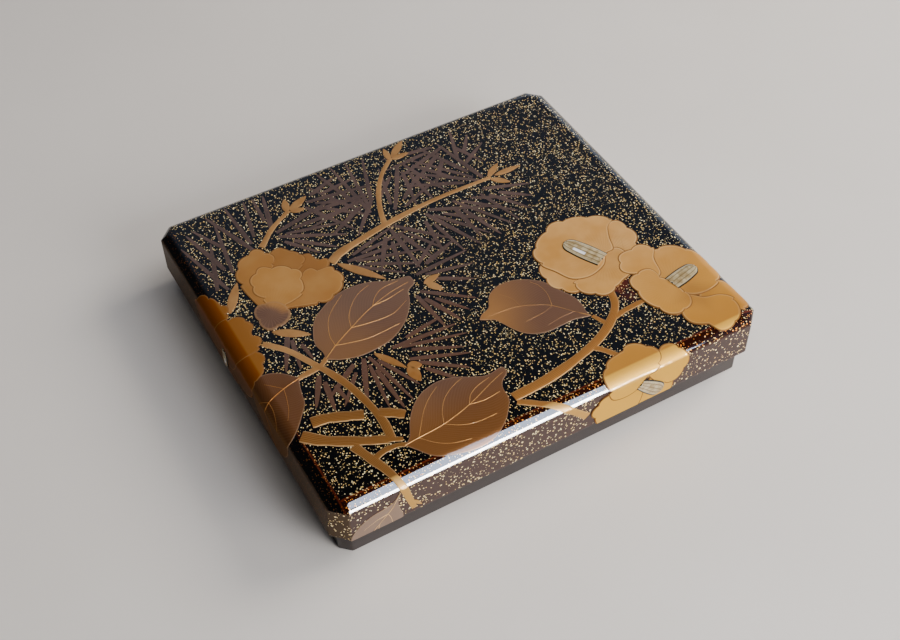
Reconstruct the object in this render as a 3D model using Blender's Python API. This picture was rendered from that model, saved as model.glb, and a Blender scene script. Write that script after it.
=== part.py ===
"""Shallow lacquered writing box: a tray, a lift-off lid with camellia branches in low relief, and four inlays."""

from collections import namedtuple
from math import atan2, copysign, cos, pi, radians, sin, sqrt

import bmesh
import bpy
from mathutils import Vector

# Outside of the closed box
LENGTH = 0.240
DEPTH = 0.213
HEIGHT = 0.040
LID_EDGE_HEIGHT = 0.016
CORNER_CUT = 0.0075

# Rolled bevel round the lid's flat top
BEVEL_WIDTH = 0.0066
BEVEL_DROP = 0.0033
BEVEL_STEPS = 4

# Walls and fits
LID_WALL = 0.0039
LID_TOP = 0.0033
FIT_GAP = 0.0005
REST_GAP = 0.0003
TRAY_WALL = 0.0035
TRAY_FLOOR = 0.0035
SOFT_EDGE = 0.0005

# Low relief, measured outward from the lid's surface
LEAF_LIFT = 0.00038
BRANCH_LIFT = 0.00044
MIDRIB_LIFT = 0.00054
PETAL_LIFT = 0.00050
PETAL_STEP = 0.00013
CALYX_LIFT = 0.00088
RELIEF_ROOT = 0.0006
EDGE_MARGIN = 0.0004
MIDRIB_WIDTH = 0.0009

# Shell inlays
INLAY_PROUD = 0.0013
INLAY_SINK = 0.0007

# Petal lobes
LOBE_DEPTH = 0.0018
LOBE_ROUND = 0.6

# Points on each outline
LOBE_STEPS = 5
INSIDE_STEPS = 8
SMOOTH_STEPS = 6
LEAF_STEPS = 12
STROKE_STEPS = 3
ROUND_STEPS = 6

# The rest follows from the sizes above
HALF_LENGTH = LENGTH / 2
HALF_DEPTH = DEPTH / 2
FLAT_X = HALF_LENGTH - BEVEL_WIDTH
FLAT_Y = HALF_DEPTH - BEVEL_WIDTH
BEVEL_RADIUS = (BEVEL_WIDTH ** 2 + BEVEL_DROP ** 2) / (2 * BEVEL_DROP)
BEVEL_ANGLE = 2 * atan2(BEVEL_DROP, BEVEL_WIDTH)
BEVEL_LENGTH = BEVEL_RADIUS * BEVEL_ANGLE
CREASE_HEIGHT = HEIGHT - BEVEL_DROP
LID_SIDE = CREASE_HEIGHT - LID_EDGE_HEIGHT
CEILING_HEIGHT = HEIGHT - LID_TOP
TRAY_HEIGHT = CEILING_HEIGHT - REST_GAP
TINY = 1e-7
SEAM_WELD = 0.000001
POINT_MERGE = 0.00001
FLAT_ENOUGH = radians(0.05)

LACQUER = ("black lacquer", (0.006, 0.005, 0.006), 0.10, 0.0)
FOOT_LACQUER = ("plain dark lacquer", (0.012, 0.010, 0.010), 0.22, 0.0)
GOLD = ("gold powder lacquer", (0.46, 0.25, 0.085), 0.38, 0.55)
BRONZE = ("brown powder lacquer", (0.16, 0.075, 0.038), 0.42, 0.35)
SHELL = ("pale shell", (0.42, 0.36, 0.22), 0.25, 0.30)

Petal = namedtuple("Petal", "lobes rim inside")
Inlay = namedtuple("Inlay", "name foot heading length foot_width end_width")
Flower = namedtuple("Flower", "petals inlay")
Leaf = namedtuple("Leaf", "midrib upper lower veins")
Branch = namedtuple("Branch", "path start_width end_width")
Bud = namedtuple("Bud", "base tip breadth")


# Places on the lid, unrolled flat

def at(across, back):
    """Place on the lid in per cent of its half length and half depth; past the flat top it runs down the side."""
    return Vector((across / 100 * HALF_LENGTH, back / 100 * HALF_DEPTH))


def drawn(*places):
    """Places drawn in millimetres from the middle of the lid as designed, 240 by 213."""
    return [Vector((x / 240 * LENGTH, y / 213 * DEPTH)) for x, y in places]


def spot(x, y):
    return drawn((x, y))[0]


# Each petal, from the lowest up: the lobes of its free rim, the rim's places and the places inside the flower
FLOWERS = (
    Flower((
        Petal(3, drawn((84, -36), (90, -37), (95.5, -32), (98, -24), (95.5, -14.5), (90, -12.5)),
              drawn((84.5, -18), (82, -27))),
        Petal(3, drawn((42, -20.5), (38.6, -29), (39.5, -38), (45, -45), (51, -47)),
              drawn((56, -42), (54, -30), (47, -23))),
        Petal(3, drawn((49.5, -41), (51, -49), (58, -55), (66, -55), (73, -51), (80, -49)),
              drawn((85, -40), (84, -31.5), (78, -29.5), (72, -33), (66, -38), (57, -39.5))),
        Petal(5, drawn((42.5, -21), (44, -11), (52, -4.5), (63, 1.5), (75, 0), (86, -4.5), (93, -11)),
              drawn((88, -15), (84, -22), (81, -30), (76, -31), (70, -37.5), (60, -40.5), (51, -37.5), (46.5, -29))),
    ), Inlay("inlay_right", spot(71.8, -34.2), 117, 0.0232, 0.45, 0.36)),
    Flower((
        Petal(2, drawn((111, -75), (117.5, -78.5), (120.5, -87), (119, -95), (114, -98.5)),
              drawn((109, -93), (103, -86), (100, -80))),
        Petal(4, drawn((92, -52), (94.5, -44.5), (101, -41), (109, -44), (116, -51), (119.5, -60), (119, -70),
                          (114, -77)), drawn((104, -79), (96, -76), (90, -66))),
        Petal(3, drawn((80, -52), (76, -45), (79.5, -37.5), (86, -35), (94, -34.8), (99.5, -40)),
              drawn((95, -47), (92, -57), (86, -58))),
        Petal(3, drawn((84.5, -84), (85.5, -92), (91, -98), (96, -103.5), (105, -103.5), (111, -98),
                          (113.5, -90)), drawn((109, -84.5), (101, -82), (94, -76), (88, -79))),
        Petal(6, drawn((73.5, -62), (75.5, -54), (82, -50.5), (89, -52.5), (91.5, -60), (94, -69), (96, -76),
                          (92, -83), (85, -85), (78, -80.5), (74.5, -71)), []),
    ), Inlay("inlay_corner", spot(92.6, -66.2), 12.5, 0.0183, 0.51, 0.40)),
    Flower((
        Petal(1, drawn((63, -118), (66, -124), (63, -130)), drawn((46, -130), (44, -120), (52, -112))),
        Petal(3, drawn((58, -101), (64, -98), (70, -100), (73.5, -108), (73.5, -115), (68, -121.5), (60, -121)),
              drawn((53, -113), (50, -106))),
        Petal(3, drawn((30, -109), (22, -111.5), (18, -118), (20, -125), (26, -131)),
              drawn((42, -131), (47, -122), (45, -113), (38, -108))),
        Petal(4, drawn((27, -108), (28, -100), (33, -94), (41, -91.5), (49, -89), (57, -93), (60, -99.5),
                          (57, -106)), drawn((48, -109), (44.5, -114.5), (37, -116.5), (30, -114.5))),
    ), Inlay("inlay_front", spot(45.3, -112.5), -41, 0.90 * LID_SIDE, 0.33, 0.47)),
    Flower((
        Petal(4, drawn((-129, -10), (-137, -2), (-140, 14), (-138, 32), (-130, 40)),
              drawn((-124, 28), (-124, 2))),
        Petal(4, drawn((-128, 52), (-119, 49), (-114.5, 44), (-113, 39), (-110, 34), (-111.5, 29)),
              drawn((-116, 24), (-126, 18), (-134, 26), (-134, 42))),
        Petal(3, drawn((-110.5, 0.5), (-107.5, -6), (-110, -11.5), (-113, -15), (-119, -19), (-128, -17)),
              drawn((-134, -6), (-128, 6), (-118, 6))),
        Petal(3, drawn((-113, 25.5), (-106, 22.5), (-104, 16), (-106, 11.5), (-104, 6), (-107, 1)),
              drawn((-112, -1), (-122, 0), (-132, 8), (-131, 20), (-122, 25))),
    ), Inlay("inlay_left", spot(-125.5, 14.4), 172, 0.63 * LID_SIDE, 0.31, 0.43)),
    Flower((
        Petal(2, drawn((-64, 47), (-58, 46.8), (-56, 42.3), (-51.5, 39.5), (-52, 35), (-56, 32)),
              drawn((-64, 34), (-70, 40))),
        Petal(3, drawn((-76, 57), (-71, 58.3), (-67, 57.5), (-65.5, 53.2), (-61.5, 50), (-61, 45), (-64, 41)),
              drawn((-70, 39), (-78, 44), (-80, 52))),
        Petal(4, drawn((-97.5, 44), (-96.5, 52), (-92.5, 58.5), (-87, 62), (-81, 63.6), (-76.5, 59.5),
                          (-74.5, 54), (-77, 48.5)), drawn((-84, 42), (-90, 30), (-94, 23), (-96.5, 32))),
        Petal(5, drawn((-68, 35.5), (-62, 36.8), (-57.5, 34), (-51.5, 32), (-50, 26), (-50.5, 20), (-56, 15),
                          (-62, 12), (-69, 12.8)), drawn((-80, 16.5), (-90, 20), (-90, 25), (-78, 30))),
        Petal(6, drawn((-92, 29), (-94, 37), (-91.5, 45), (-85, 50), (-79, 48), (-74.5, 46), (-69, 41.5),
                          (-67, 36), (-69.5, 29), (-73, 22.5)), drawn((-82, 20), (-90, 20.5))),
    ), None),
)
CALYX = Petal(4, drawn((-100.5, 17), (-98, 24), (-93, 26.5), (-87, 23.5), (-83, 17), (-86, 11.5), (-92, 8),
                          (-98, 9.5)), [])

# Each leaf: its midrib from stalk to tip, its two edges between those ends, and its side veins
LEAVES = (
    Leaf(drawn((-82, -22.5), (-74, -17), (-62, -10.5), (-50, -4.5), (-36, 0.5), (-19.5, 3.5)),
         drawn((-81.2, -18), (-82.2, -12), (-80.5, -5.5), (-75, 4), (-65, 10.8), (-57, 13.8), (-49, 14.4), (-40, 13),
               (-31, 8.8), (-25, 7.4), (-20.2, 6.4)),
         drawn((-78.6, -24.6), (-75, -26.6), (-66, -29), (-55, -28.6), (-47, -26.7), (-38, -21.2), (-32, -15),
               (-27.9, -8.6), (-25.4, -2.6), (-20.2, 0.6)),
         (drawn((-74, -17), (-73.6, -10), (-70, -1), (-65, 5), (-56, 12)),
          drawn((-62, -10.5), (-59.5, -3), (-54, 4), (-48, 8.6), (-41, 11.2)),
          drawn((-46, -2.8), (-42, 2.2), (-36, 5.6), (-27, 6.2)),
          drawn((-74, -17), (-66, -19.2), (-56, -21), (-40, -20)),
          drawn((-62, -10.5), (-52, -12.2), (-40, -12.6), (-29.5, -8)),
          drawn((-46, -2.8), (-37, -2.4), (-27, -0.4)))),
    Leaf(drawn((-73.5, -87.5), (-65, -86.8), (-52, -85.8), (-36, -81.8), (-20, -75.4), (-9.8, -72)),
         drawn((-70.8, -85.6), (-68.4, -82.6), (-65, -76.4), (-60, -70), (-53.6, -65), (-46.4, -62.4), (-39.3, -62.1),
               (-32.1, -64.3), (-26.4, -67.6), (-19.5, -70.4), (-11, -69.5)),
         drawn((-71.8, -89.8), (-69.5, -93), (-65.7, -98.4), (-60.7, -101.6), (-52, -104), (-42, -105), (-33.6, -103.4),
               (-26.4, -98.8), (-21.4, -93.4), (-17.8, -88), (-17, -81), (-14.6, -77), (-10.8, -74.4)),
         (drawn((-66, -87), (-62, -81.6), (-57, -75), (-51, -69.2), (-44, -64.6)),
          drawn((-52, -85.8), (-49, -79), (-44.5, -73), (-38, -68.6), (-31, -66)),
          drawn((-36, -81.8), (-32.5, -77), (-27, -74), (-19.5, -72.2)),
          drawn((-66, -87), (-60.5, -93.2), (-54, -97.4), (-45, -99.6)),
          drawn((-52, -85.8), (-45, -90.4), (-37, -92.6), (-27.5, -92.8)),
          drawn((-36, -81.8), (-28, -83), (-19.5, -82.2)))),
    Leaf(drawn((45.2, -63.6), (39.3, -57.1), (31.9, -48.1), (25, -43.6), (15, -39.6), (-4.4, -38)),
         drawn((44.6, -60), (45.3, -56), (45.3, -51.5), (44, -46.6), (41.4, -41.4), (39.3, -36.4), (37.1, -32.1),
               (33.4, -28.2), (28.6, -25), (23.6, -22.9), (17.9, -22.3), (12.9, -23.3), (8.4, -26), (5.6, -30),
               (3.4, -33.4), (-1.6, -35.4)),
         drawn((42, -62.8), (36.4, -61.4), (29.3, -61.6), (22, -61.7), (15.7, -60.2), (10.7, -57), (7.1, -52),
               (4.4, -46), (2.2, -41.8), (-1.4, -39.8)),
         (drawn((31.9, -48.1), (34.2, -40), (33.6, -33), (31, -28.6)),
          drawn((18, -40.8), (17, -34), (13, -28)),
          drawn((39.3, -57.1), (32, -57), (23, -58.2)),
          drawn((31.9, -48.1), (25, -50), (15, -50.6)))),
    Leaf(drawn((-98, -26.6), (-107.5, -29), (-117, -32.6), (-129, -38), (-140, -44)),
         drawn((-100.6, -23.6), (-104, -20), (-109, -17), (-115, -16.2), (-121, -18), (-128, -21), (-135, -28)),
         drawn((-99.6, -30), (-101.2, -36), (-102.6, -42), (-106.4, -47.2), (-112, -54), (-117, -58), (-123, -59),
               (-130, -57), (-136, -52)),
         (drawn((-107.5, -29), (-110.4, -26), (-114.5, -22)),
          drawn((-107.5, -29), (-108.8, -35), (-111, -42), (-114, -47.5)),
          drawn((-117, -32.6), (-117.4, -39), (-119.8, -46), (-124, -51)),
          drawn((-117, -32.6), (-121, -28.6), (-126, -26.5)))),
    Leaf(drawn((-86.6, -108.4), (-91, -117), (-95, -121.5), (-101, -128), (-105, -135)),
         drawn((-88.8, -111.6), (-91, -114), (-95.5, -115.4), (-101, -116.3), (-106, -118.5), (-110, -122),
               (-112.6, -127), (-112, -132)),
         drawn((-87.3, -112), (-87.9, -116), (-86.9, -121), (-85.8, -126), (-87, -131), (-95, -135)),
         (drawn((-93.4, -120), (-92, -124), (-91.3, -130)),
          drawn((-93.4, -120), (-99.5, -121), (-106, -124)),
          drawn((-98, -124.6), (-98.6, -128), (-98, -132)))),
)

BRANCHES = (
    Branch(drawn((-104.4, 2.1), (-95.6, -8), (-88.4, -22), (-83.6, -32), (-79.4, -44), (-76.6, -58), (-75.6, -70),
                 (-76.8, -80.5)), 0.0030, 0.0044),
    Branch(drawn((-105, -54), (-97, -55.4), (-89, -58.8), (-81.6, -62)), 0.0062, 0.0056),
    Branch(drawn((-74.8, -64.6), (-70, -67.4), (-64.8, -71.4)), 0.0056, 0.0052),
    Branch(drawn((-112.5, -58.8), (-106, -65), (-98, -70.4), (-89, -75.4), (-78.6, -80.4)), 0.0066, 0.0048),
    Branch(drawn((-80.6, -79.5), (-72.4, -83.6)), 0.0036, 0.0022),
    Branch(drawn((-94.2, -76), (-91, -85), (-87.4, -95), (-85.2, -104), (-82.6, -114), (-79.8, -125)), 0.0052, 0.0030),
    Branch(drawn((-90, -87.4), (-83.6, -85.4), (-77, -85.4), (-72, -87.4)), 0.0036, 0.0022),
    Branch(drawn((-90, -25.4), (-86, -25), (-81, -21.6)), 0.0034, 0.0022),
    Branch(drawn((-108, -29), (-98, -26.6), (-87, -25.4)), 0.0022, 0.0034),
    Branch((at(-13, -83), at(2, -82), at(17, -79), at(32, -74), at(43, -67), at(50, -59), at(52.5, -50)), 0.0056, 0.0040),
    Branch((at(43, -67), at(50, -65), at(62, -64)), 0.0032, 0.0028),
    Branch((at(27.5, -75), at(32, -81), at(36, -88)), 0.0034, 0.0028),
    Branch((at(-13, -86), at(-7, -91), at(3, -100), at(12.5, -111)), 0.0032, 0.0042),
    Branch((at(-42, 33), at(-36, 37), at(-25, 40), at(-7, 44), at(17, 47), at(46, 47)), 0.0060, 0.0020),
    Branch((at(-11, 43), at(-8, 54.5), at(-3, 67), at(4, 78), at(12.5, 86.5)), 0.0040, 0.0024),
    Branch((at(-64, 60), at(-55, 69.5), at(-44, 77)), 0.0042, 0.0022),
    Branch((at(38, -60), at(41, -68)), 0.0020, 0.0028),
)

BUDS = (
    Bud(at(-92, 27), at(-82, 44), 0.0050),
    Bud(at(-81, 6.5), at(-67.5, -4), 0.0050),
    Bud(at(-40, 31), at(-26, 10), 0.0048),
    Bud(at(-50, -29), at(-42, -44), 0.0038),
    Bud(at(45, 48), at(52.5, 54.5), 0.0050),
    Bud(at(48, 47.3), at(62, 47.3), 0.0045),
    Bud(at(45, 46), at(51.5, 40), 0.0050),
    Bud(at(11.5, 85), at(14, 95), 0.0050),
    Bud(at(13, 86.5), at(23, 96), 0.0060),
    Bud(at(12.5, 85.5), at(21.5, 85.5), 0.0055),
    Bud(at(-45, 76.5), at(-42.5, 86), 0.0062),
    Bud(at(-43.5, 77), at(-33, 82.5), 0.0062),
    Bud(at(-43.5, 76), at(-38, 74.5), 0.0045),
    Bud(at(-13.5, -2), at(-5, 0), 0.0050),
    Bud(at(-12.5, -2), at(-8, -10), 0.0050),
    Bud(at(-41.5, -43), at(-36, -46), 0.0052),
    Bud(at(-41.5, -43), at(-40.5, -54), 0.0058),
    Bud(spot(-80.4, -119), spot(-75.8, -125), 0.0028),
)


# Outlines, as closed lists of flat points

def turned(origin, heading, along, across):
    """Point `along` and `across` from the origin, in a frame turned to the heading."""
    turn = radians(heading)
    return origin + Vector((along * cos(turn) - across * sin(turn), along * sin(turn) + across * cos(turn)))


def curve_between(a, b, c, d, steps):
    """Catmull-Rom curve from b towards c, without c itself."""
    points = []
    for index in range(steps):
        t = index / steps
        points.append(0.5 * (2 * b + (c - a) * t + (2 * a - 5 * b + 4 * c - d) * t * t
                             + (3 * b - a - 3 * c + d) * t ** 3))
    return points


def smooth_path(points, steps):
    """Catmull-Rom curve through the points."""
    ends = [2 * points[0] - points[1], *points, 2 * points[-1] - points[-2]]
    path = [point for four in zip(ends, ends[1:], ends[2:], ends[3:]) for point in curve_between(*four, steps)]
    return path + [points[-1].copy()]


def spaced(path, count):
    """Evenly spaced points along a path, from its start but without its end."""
    lengths = [(there - here).length for here, there in zip(path, path[1:])]
    points, passed, index = [], 0.0, 0
    for number in range(count):
        way = sum(lengths) * number / count
        while passed + lengths[index] < way:
            passed += lengths[index]
            index += 1
        points.append(path[index].lerp(path[index + 1], (way - passed) / lengths[index]))
    return points


def petal_outline(petal):
    """Closed smooth curve through a petal's places, with rounded lobes along its free rim."""
    places = [*petal.rim, *petal.inside]
    rounds = [places[-1], *places, places[0], places[1]]
    pieces = [curve_between(*four, SMOOTH_STEPS) for four in zip(rounds, rounds[1:], rounds[2:], rounds[3:])]
    rim_pieces = len(petal.rim) - (1 if petal.inside else 0)
    rim = [point for piece in pieces[:rim_pieces] for point in piece]
    rest = [point for piece in pieces[rim_pieces:] for point in piece]
    rim = spaced(rim + (rest or rim)[:1], petal.lobes * LOBE_STEPS)
    rest = spaced(rest + rim[:1], INSIDE_STEPS) if rest else []
    loop = rim + rest
    area = sum(here.cross(there) for here, there in zip(loop, loop[1:] + loop[:1]))
    outline = []
    for index, point in enumerate(loop):
        run = (loop[(index + 1) % len(loop)] - loop[index - 1]).normalized()
        inward = copysign(1.0, area) * Vector((-run.y, run.x))
        wave = abs(sin(pi * index / LOBE_STEPS)) if index < len(rim) else 1.0
        outline.append(point + inward * LOBE_DEPTH * (1 - wave ** LOBE_ROUND))
    return outline


def leaf_outline(leaf):
    """Pointed leaf round its two edges."""
    base, tip = leaf.midrib[0], leaf.midrib[-1]
    upper = spaced(smooth_path([base, *leaf.upper, tip], SMOOTH_STEPS), LEAF_STEPS)
    lower = spaced(smooth_path([tip, *leaf.lower[::-1], base], SMOOTH_STEPS), LEAF_STEPS)
    return upper + lower


def branch_outline(branch):
    """Brush-stroke branch with a squared start and end."""
    path = smooth_path(branch.path, STROKE_STEPS)
    last = len(path) - 1
    left, right = [], []
    for index, point in enumerate(path):
        run = path[min(last, index + 1)] - path[max(0, index - 1)]
        side = Vector((-run.y, run.x)).normalized()
        half = 0.5 * (branch.start_width + (branch.end_width - branch.start_width) * index / last)
        left.append(point + side * half)
        right.append(point - side * half)
    return left + right[::-1]


def bud_outline(bud):
    """Lens with two points."""
    axis = bud.tip - bud.base
    side = Vector((-axis.y, axis.x)).normalized()
    shares = [index / ROUND_STEPS for index in range(ROUND_STEPS + 1)]
    left = [bud.base + axis * t + side * 0.5 * bud.breadth * sin(pi * t) for t in shares]
    right = [bud.base + axis * t - side * 0.5 * bud.breadth * sin(pi * t) for t in shares[-2:0:-1]]
    return left + right


def midrib_outline(leaf):
    """Fine raised rib from near a leaf's base almost to its tip, tapering as it goes."""
    start = leaf.midrib[0].lerp(leaf.midrib[1], 0.15)
    return branch_outline(Branch([start, *leaf.midrib[1:-1]], MIDRIB_WIDTH, MIDRIB_WIDTH / 2))


def inlay_outline(inlay, grow=0.0):
    """Tongue with a square foot and a round end, enlarged all round by `grow`."""
    foot = inlay.foot
    radius = 0.5 * inlay.length * inlay.end_width + grow
    centre = inlay.length * (1 - 0.5 * inlay.end_width)
    half_foot = 0.5 * inlay.length * inlay.foot_width + grow
    outline = [turned(foot, inlay.heading, -grow, half_foot), turned(foot, inlay.heading, -grow, -half_foot)]
    for index in range(ROUND_STEPS + 1):
        angle = pi * (index / ROUND_STEPS - 0.5)
        outline.append(turned(foot, inlay.heading, centre + radius * cos(angle), radius * sin(angle)))
    return outline


def clipped(outline, axis, limit):
    """The part of an outline whose coordinate on the axis is no lower than the limit."""
    kept = []
    for here, there in zip(outline, outline[1:] + outline[:1]):
        if here[axis] >= limit:
            kept.append(here)
        if (here[axis] < limit) != (there[axis] < limit):
            kept.append(here.lerp(there, (limit - here[axis]) / (there[axis] - here[axis])))
    return kept


# Wrapping the flat drawing over the lid

def profile_corner(step):
    """Corner of the stepped profile: distance past the flat top, fall, and the two parts of its outward mitre."""
    if step > BEVEL_STEPS:
        return BEVEL_WIDTH, BEVEL_DROP + LID_SIDE, 1.0, 0.0
    angle = BEVEL_ANGLE * step / BEVEL_STEPS
    past, fall = BEVEL_RADIUS * sin(angle), BEVEL_RADIUS * (1 - cos(angle))
    if step == BEVEL_STEPS:
        return past, fall, 1.0, cos(angle) / (1 + sin(angle))
    return past, fall, sin(angle), cos(angle)


def rolled(reach, flat):
    """Where a flat distance from the middle lands on the profile: distance out, fall, and outward normal."""
    side = copysign(1.0, reach)
    past = abs(reach) - flat
    if past <= 0:
        return reach, 0.0, 0.0, 1.0
    place = past / BEVEL_LENGTH * BEVEL_STEPS
    step = int(place)
    if past > BEVEL_LENGTH:
        place = BEVEL_STEPS + (past - BEVEL_LENGTH) / LID_SIDE
        step = BEVEL_STEPS
    corners = zip(profile_corner(step), profile_corner(step + 1))
    out, fall, normal_out, normal_up = (upper + (lower - upper) * (place - step) for upper, lower in corners)
    return side * (flat + out), fall, side * normal_out, normal_up


def on_lid(point):
    """Wrap a point of the flat drawing, its height being the lift above the lid's surface."""
    x, fall_x, out_x, up_x = rolled(point.x, FLAT_X)
    y, fall_y, out_y, up_y = rolled(point.y, FLAT_Y)
    past_corner = (abs(x) + abs(y) - FLAT_X - FLAT_Y - BEVEL_WIDTH * (2 - sqrt(2)) + CORNER_CUT) / sqrt(2)
    past_corner = min(max(past_corner, 0.0), BEVEL_WIDTH)
    fall = max(fall_x, fall_y, BEVEL_RADIUS - sqrt(BEVEL_RADIUS ** 2 - past_corner ** 2))
    normal = Vector((out_x, 0, up_x)) if fall_x > fall_y else Vector((0, out_y, up_y))
    return Vector((x, y, HEIGHT - fall)) + point.z * normal


# Building blocks

def collection(name):
    made = bpy.data.collections.new(name)
    bpy.context.scene.collection.children.link(made)
    return made


def material(name, colour, roughness, metallic):
    made = bpy.data.materials.get(name) or bpy.data.materials.new(name)
    made.use_nodes = True
    shader = made.node_tree.nodes["Principled BSDF"]
    shader.inputs["Base Color"].default_value = (*colour, 1)
    shader.inputs["Roughness"].default_value = roughness
    shader.inputs["Metallic"].default_value = metallic
    return made


def add_object(name, mesh, home, finish):
    made = bpy.data.objects.new(name, mesh)
    mesh.materials.clear()
    mesh.materials.append(material(*finish))
    home.objects.link(made)
    return made


def as_cutter(made):
    made.hide_render = True
    made.display_type = "WIRE"
    return made


def corner_leg(inset):
    """Leg of the cut corner on an outline set in from the lid's outside."""
    return max(SOFT_EDGE, CORNER_CUT - inset * (2 - sqrt(2)))


def cut_corner_block(inset, low, high):
    """Box with its four upright corners cut, set in from the lid's outside."""
    block = bmesh.new()
    bmesh.ops.create_cube(block, size=1)
    bmesh.ops.scale(block, verts=block.verts, vec=(LENGTH - 2 * inset, DEPTH - 2 * inset, high - low))
    bmesh.ops.translate(block, verts=block.verts, vec=(0, 0, (low + high) / 2))
    upright = [edge for edge in block.edges if abs((edge.verts[0].co - edge.verts[1].co).z) > TINY]
    bmesh.ops.bevel(block, geom=upright, offset=corner_leg(inset), offset_type="OFFSET", segments=1, profile=0.5,
                    affect="EDGES", clamp_overlap=True)
    return block


def finish_block(block, name, home, finish):
    mesh = bpy.data.meshes.new(name)
    block.to_mesh(mesh)
    block.free()
    return add_object(name, mesh, home, finish)


def bent_plate(name, outline, low, high):
    """Plate of an outline, cut where the lid's profile turns and bent over it, `low` to `high` above its surface."""
    flat = bpy.data.curves.new(name, "CURVE")
    flat.dimensions = "2D"
    flat.fill_mode = "BOTH"
    flat.extrude = (high - low) / 2
    spline = flat.splines.new("POLY")
    spline.points.add(len(outline) - 1)
    for point, place in zip(spline.points, outline):
        point.co = (place.x, place.y, 0, 1)
    spline.use_cyclic_u = True
    guide = bpy.data.objects.new(name + "_curve", flat)
    bpy.context.scene.collection.objects.link(guide)
    guide.location.z = (low + high) / 2
    bpy.context.view_layer.update()
    mesh = bpy.data.meshes.new_from_object(guide.evaluated_get(bpy.context.evaluated_depsgraph_get()))
    mesh.transform(guide.matrix_world)
    bpy.data.objects.remove(guide)
    bpy.data.curves.remove(flat)
    plate = bmesh.new()
    plate.from_mesh(mesh)
    bmesh.ops.remove_doubles(plate, verts=plate.verts, dist=POINT_MERGE)
    cut_at_bends(plate)
    for vert in plate.verts:
        vert.co = on_lid(vert.co)
    bmesh.ops.connect_verts_nonplanar(plate, angle_limit=FLAT_ENOUGH, faces=plate.faces)
    bmesh.ops.recalc_face_normals(plate, faces=plate.faces)
    plate.to_mesh(mesh)
    plate.free()
    return mesh


def cut_at_bends(plate):
    for axis, flat in ((0, FLAT_X), (1, FLAT_Y)):
        across = Vector((0, 0, 0))
        across[axis] = 1
        for step in range(BEVEL_STEPS + 1):
            reach = flat + BEVEL_LENGTH * step / BEVEL_STEPS
            for line in (across * reach, across * -reach):
                everything = plate.verts[:] + plate.edges[:] + plate.faces[:]
                bmesh.ops.bisect_plane(plate, geom=everything, dist=TINY, plane_co=line, plane_no=across)


def boolean(target, operation, operands):
    """Join or cut the target with every object in a collection."""
    modifier = target.modifiers.new(operation.title() + " " + operands.name, "BOOLEAN")
    modifier.operation = operation
    modifier.solver = "EXACT"
    modifier.operand_type = "COLLECTION"
    modifier.collection = operands
    modifier.material_mode = "TRANSFER"


def bevelled_block(low):
    """Lid's outside: straight sides, then a rolled bevel stepped in to the flat top."""
    block = cut_corner_block(0, low, CREASE_HEIGHT)
    top = max(block.faces, key=lambda face: face.calc_center_median().z)
    for step in range(1, BEVEL_STEPS + 1):
        lower = BEVEL_ANGLE * (1 - (step - 1) / BEVEL_STEPS)
        upper = BEVEL_ANGLE * (1 - step / BEVEL_STEPS)
        bmesh.ops.inset_region(block, faces=[top], thickness=BEVEL_RADIUS * (sin(lower) - sin(upper)),
                               depth=BEVEL_RADIUS * (cos(upper) - cos(lower)), use_even_offset=True,
                               use_boundary=True)
    return block


# The pieces

def figures():
    """Every raised figure as a name, an outline, a lift and a finish."""
    for number, leaf in enumerate(LEAVES):
        yield "leaf_%d" % number, leaf_outline(leaf), LEAF_LIFT, BRONZE
        yield "midrib_%d" % number, midrib_outline(leaf), MIDRIB_LIFT, GOLD
    for number, branch in enumerate(BRANCHES):
        yield "branch_%d" % number, branch_outline(branch), BRANCH_LIFT, GOLD
    for number, bud in enumerate(BUDS):
        yield "bud_%d" % number, bud_outline(bud), BRANCH_LIFT, GOLD
    yield "calyx", petal_outline(CALYX), CALYX_LIFT, BRONZE
    for number, flower in enumerate(FLOWERS):
        for layer, petal in enumerate(flower.petals):
            yield "petal_%d_%d" % (number, layer), petal_outline(petal), PETAL_LIFT + layer * PETAL_STEP, GOLD


def make_relief(home):
    """Every raised figure as a plate bent over the lid, its root inside and its end above the lid's lower edge."""
    for name, outline, lift, finish in figures():
        for axis, flat in ((0, FLAT_X), (1, FLAT_Y)):
            outline = clipped(outline, axis, -flat - BEVEL_LENGTH - LID_SIDE + EDGE_MARGIN + lift)
        as_cutter(add_object(name, bent_plate(name, outline, -RELIEF_ROOT, lift), home, finish))


def make_lid(home):
    hollow = collection("lid hollow")
    below = LID_EDGE_HEIGHT - LID_WALL
    as_cutter(finish_block(cut_corner_block(LID_WALL, below, CEILING_HEIGHT), "hollow", hollow, LACQUER))
    relief = collection("relief")
    make_relief(relief)
    pockets = collection("inlay pockets")
    for flower in FLOWERS:
        if flower.inlay:
            name = "pocket_" + flower.inlay.name
            outline = inlay_outline(flower.inlay, REST_GAP)
            mesh = bent_plate(name, outline, -INLAY_SINK - REST_GAP, 2 * INLAY_PROUD)
            as_cutter(add_object(name, mesh, pockets, SHELL))
    lid = finish_block(bevelled_block(LID_EDGE_HEIGHT), "lid", home, LACQUER)
    boolean(lid, "UNION", relief)
    boolean(lid, "DIFFERENCE", hollow)
    boolean(lid, "DIFFERENCE", pockets)
    lid.modifiers.new("Weld seams", "WELD").merge_threshold = SEAM_WELD


def make_tray(home):
    outside = LID_WALL + FIT_GAP
    tray = cut_corner_block(outside, 0, TRAY_HEIGHT)
    edges = [edge for edge in tray.edges if max(vert.co.z for vert in edge.verts) < TINY]
    bmesh.ops.bevel(tray, geom=edges, offset=SOFT_EDGE, offset_type="OFFSET", segments=2, profile=0.5,
                    affect="EDGES")
    hollow = collection("tray hollow")
    inside = cut_corner_block(outside + TRAY_WALL, TRAY_FLOOR, TRAY_HEIGHT + TRAY_WALL)
    as_cutter(finish_block(inside, "inside", hollow, FOOT_LACQUER))
    boolean(finish_block(tray, "tray", home, FOOT_LACQUER), "DIFFERENCE", hollow)


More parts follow.
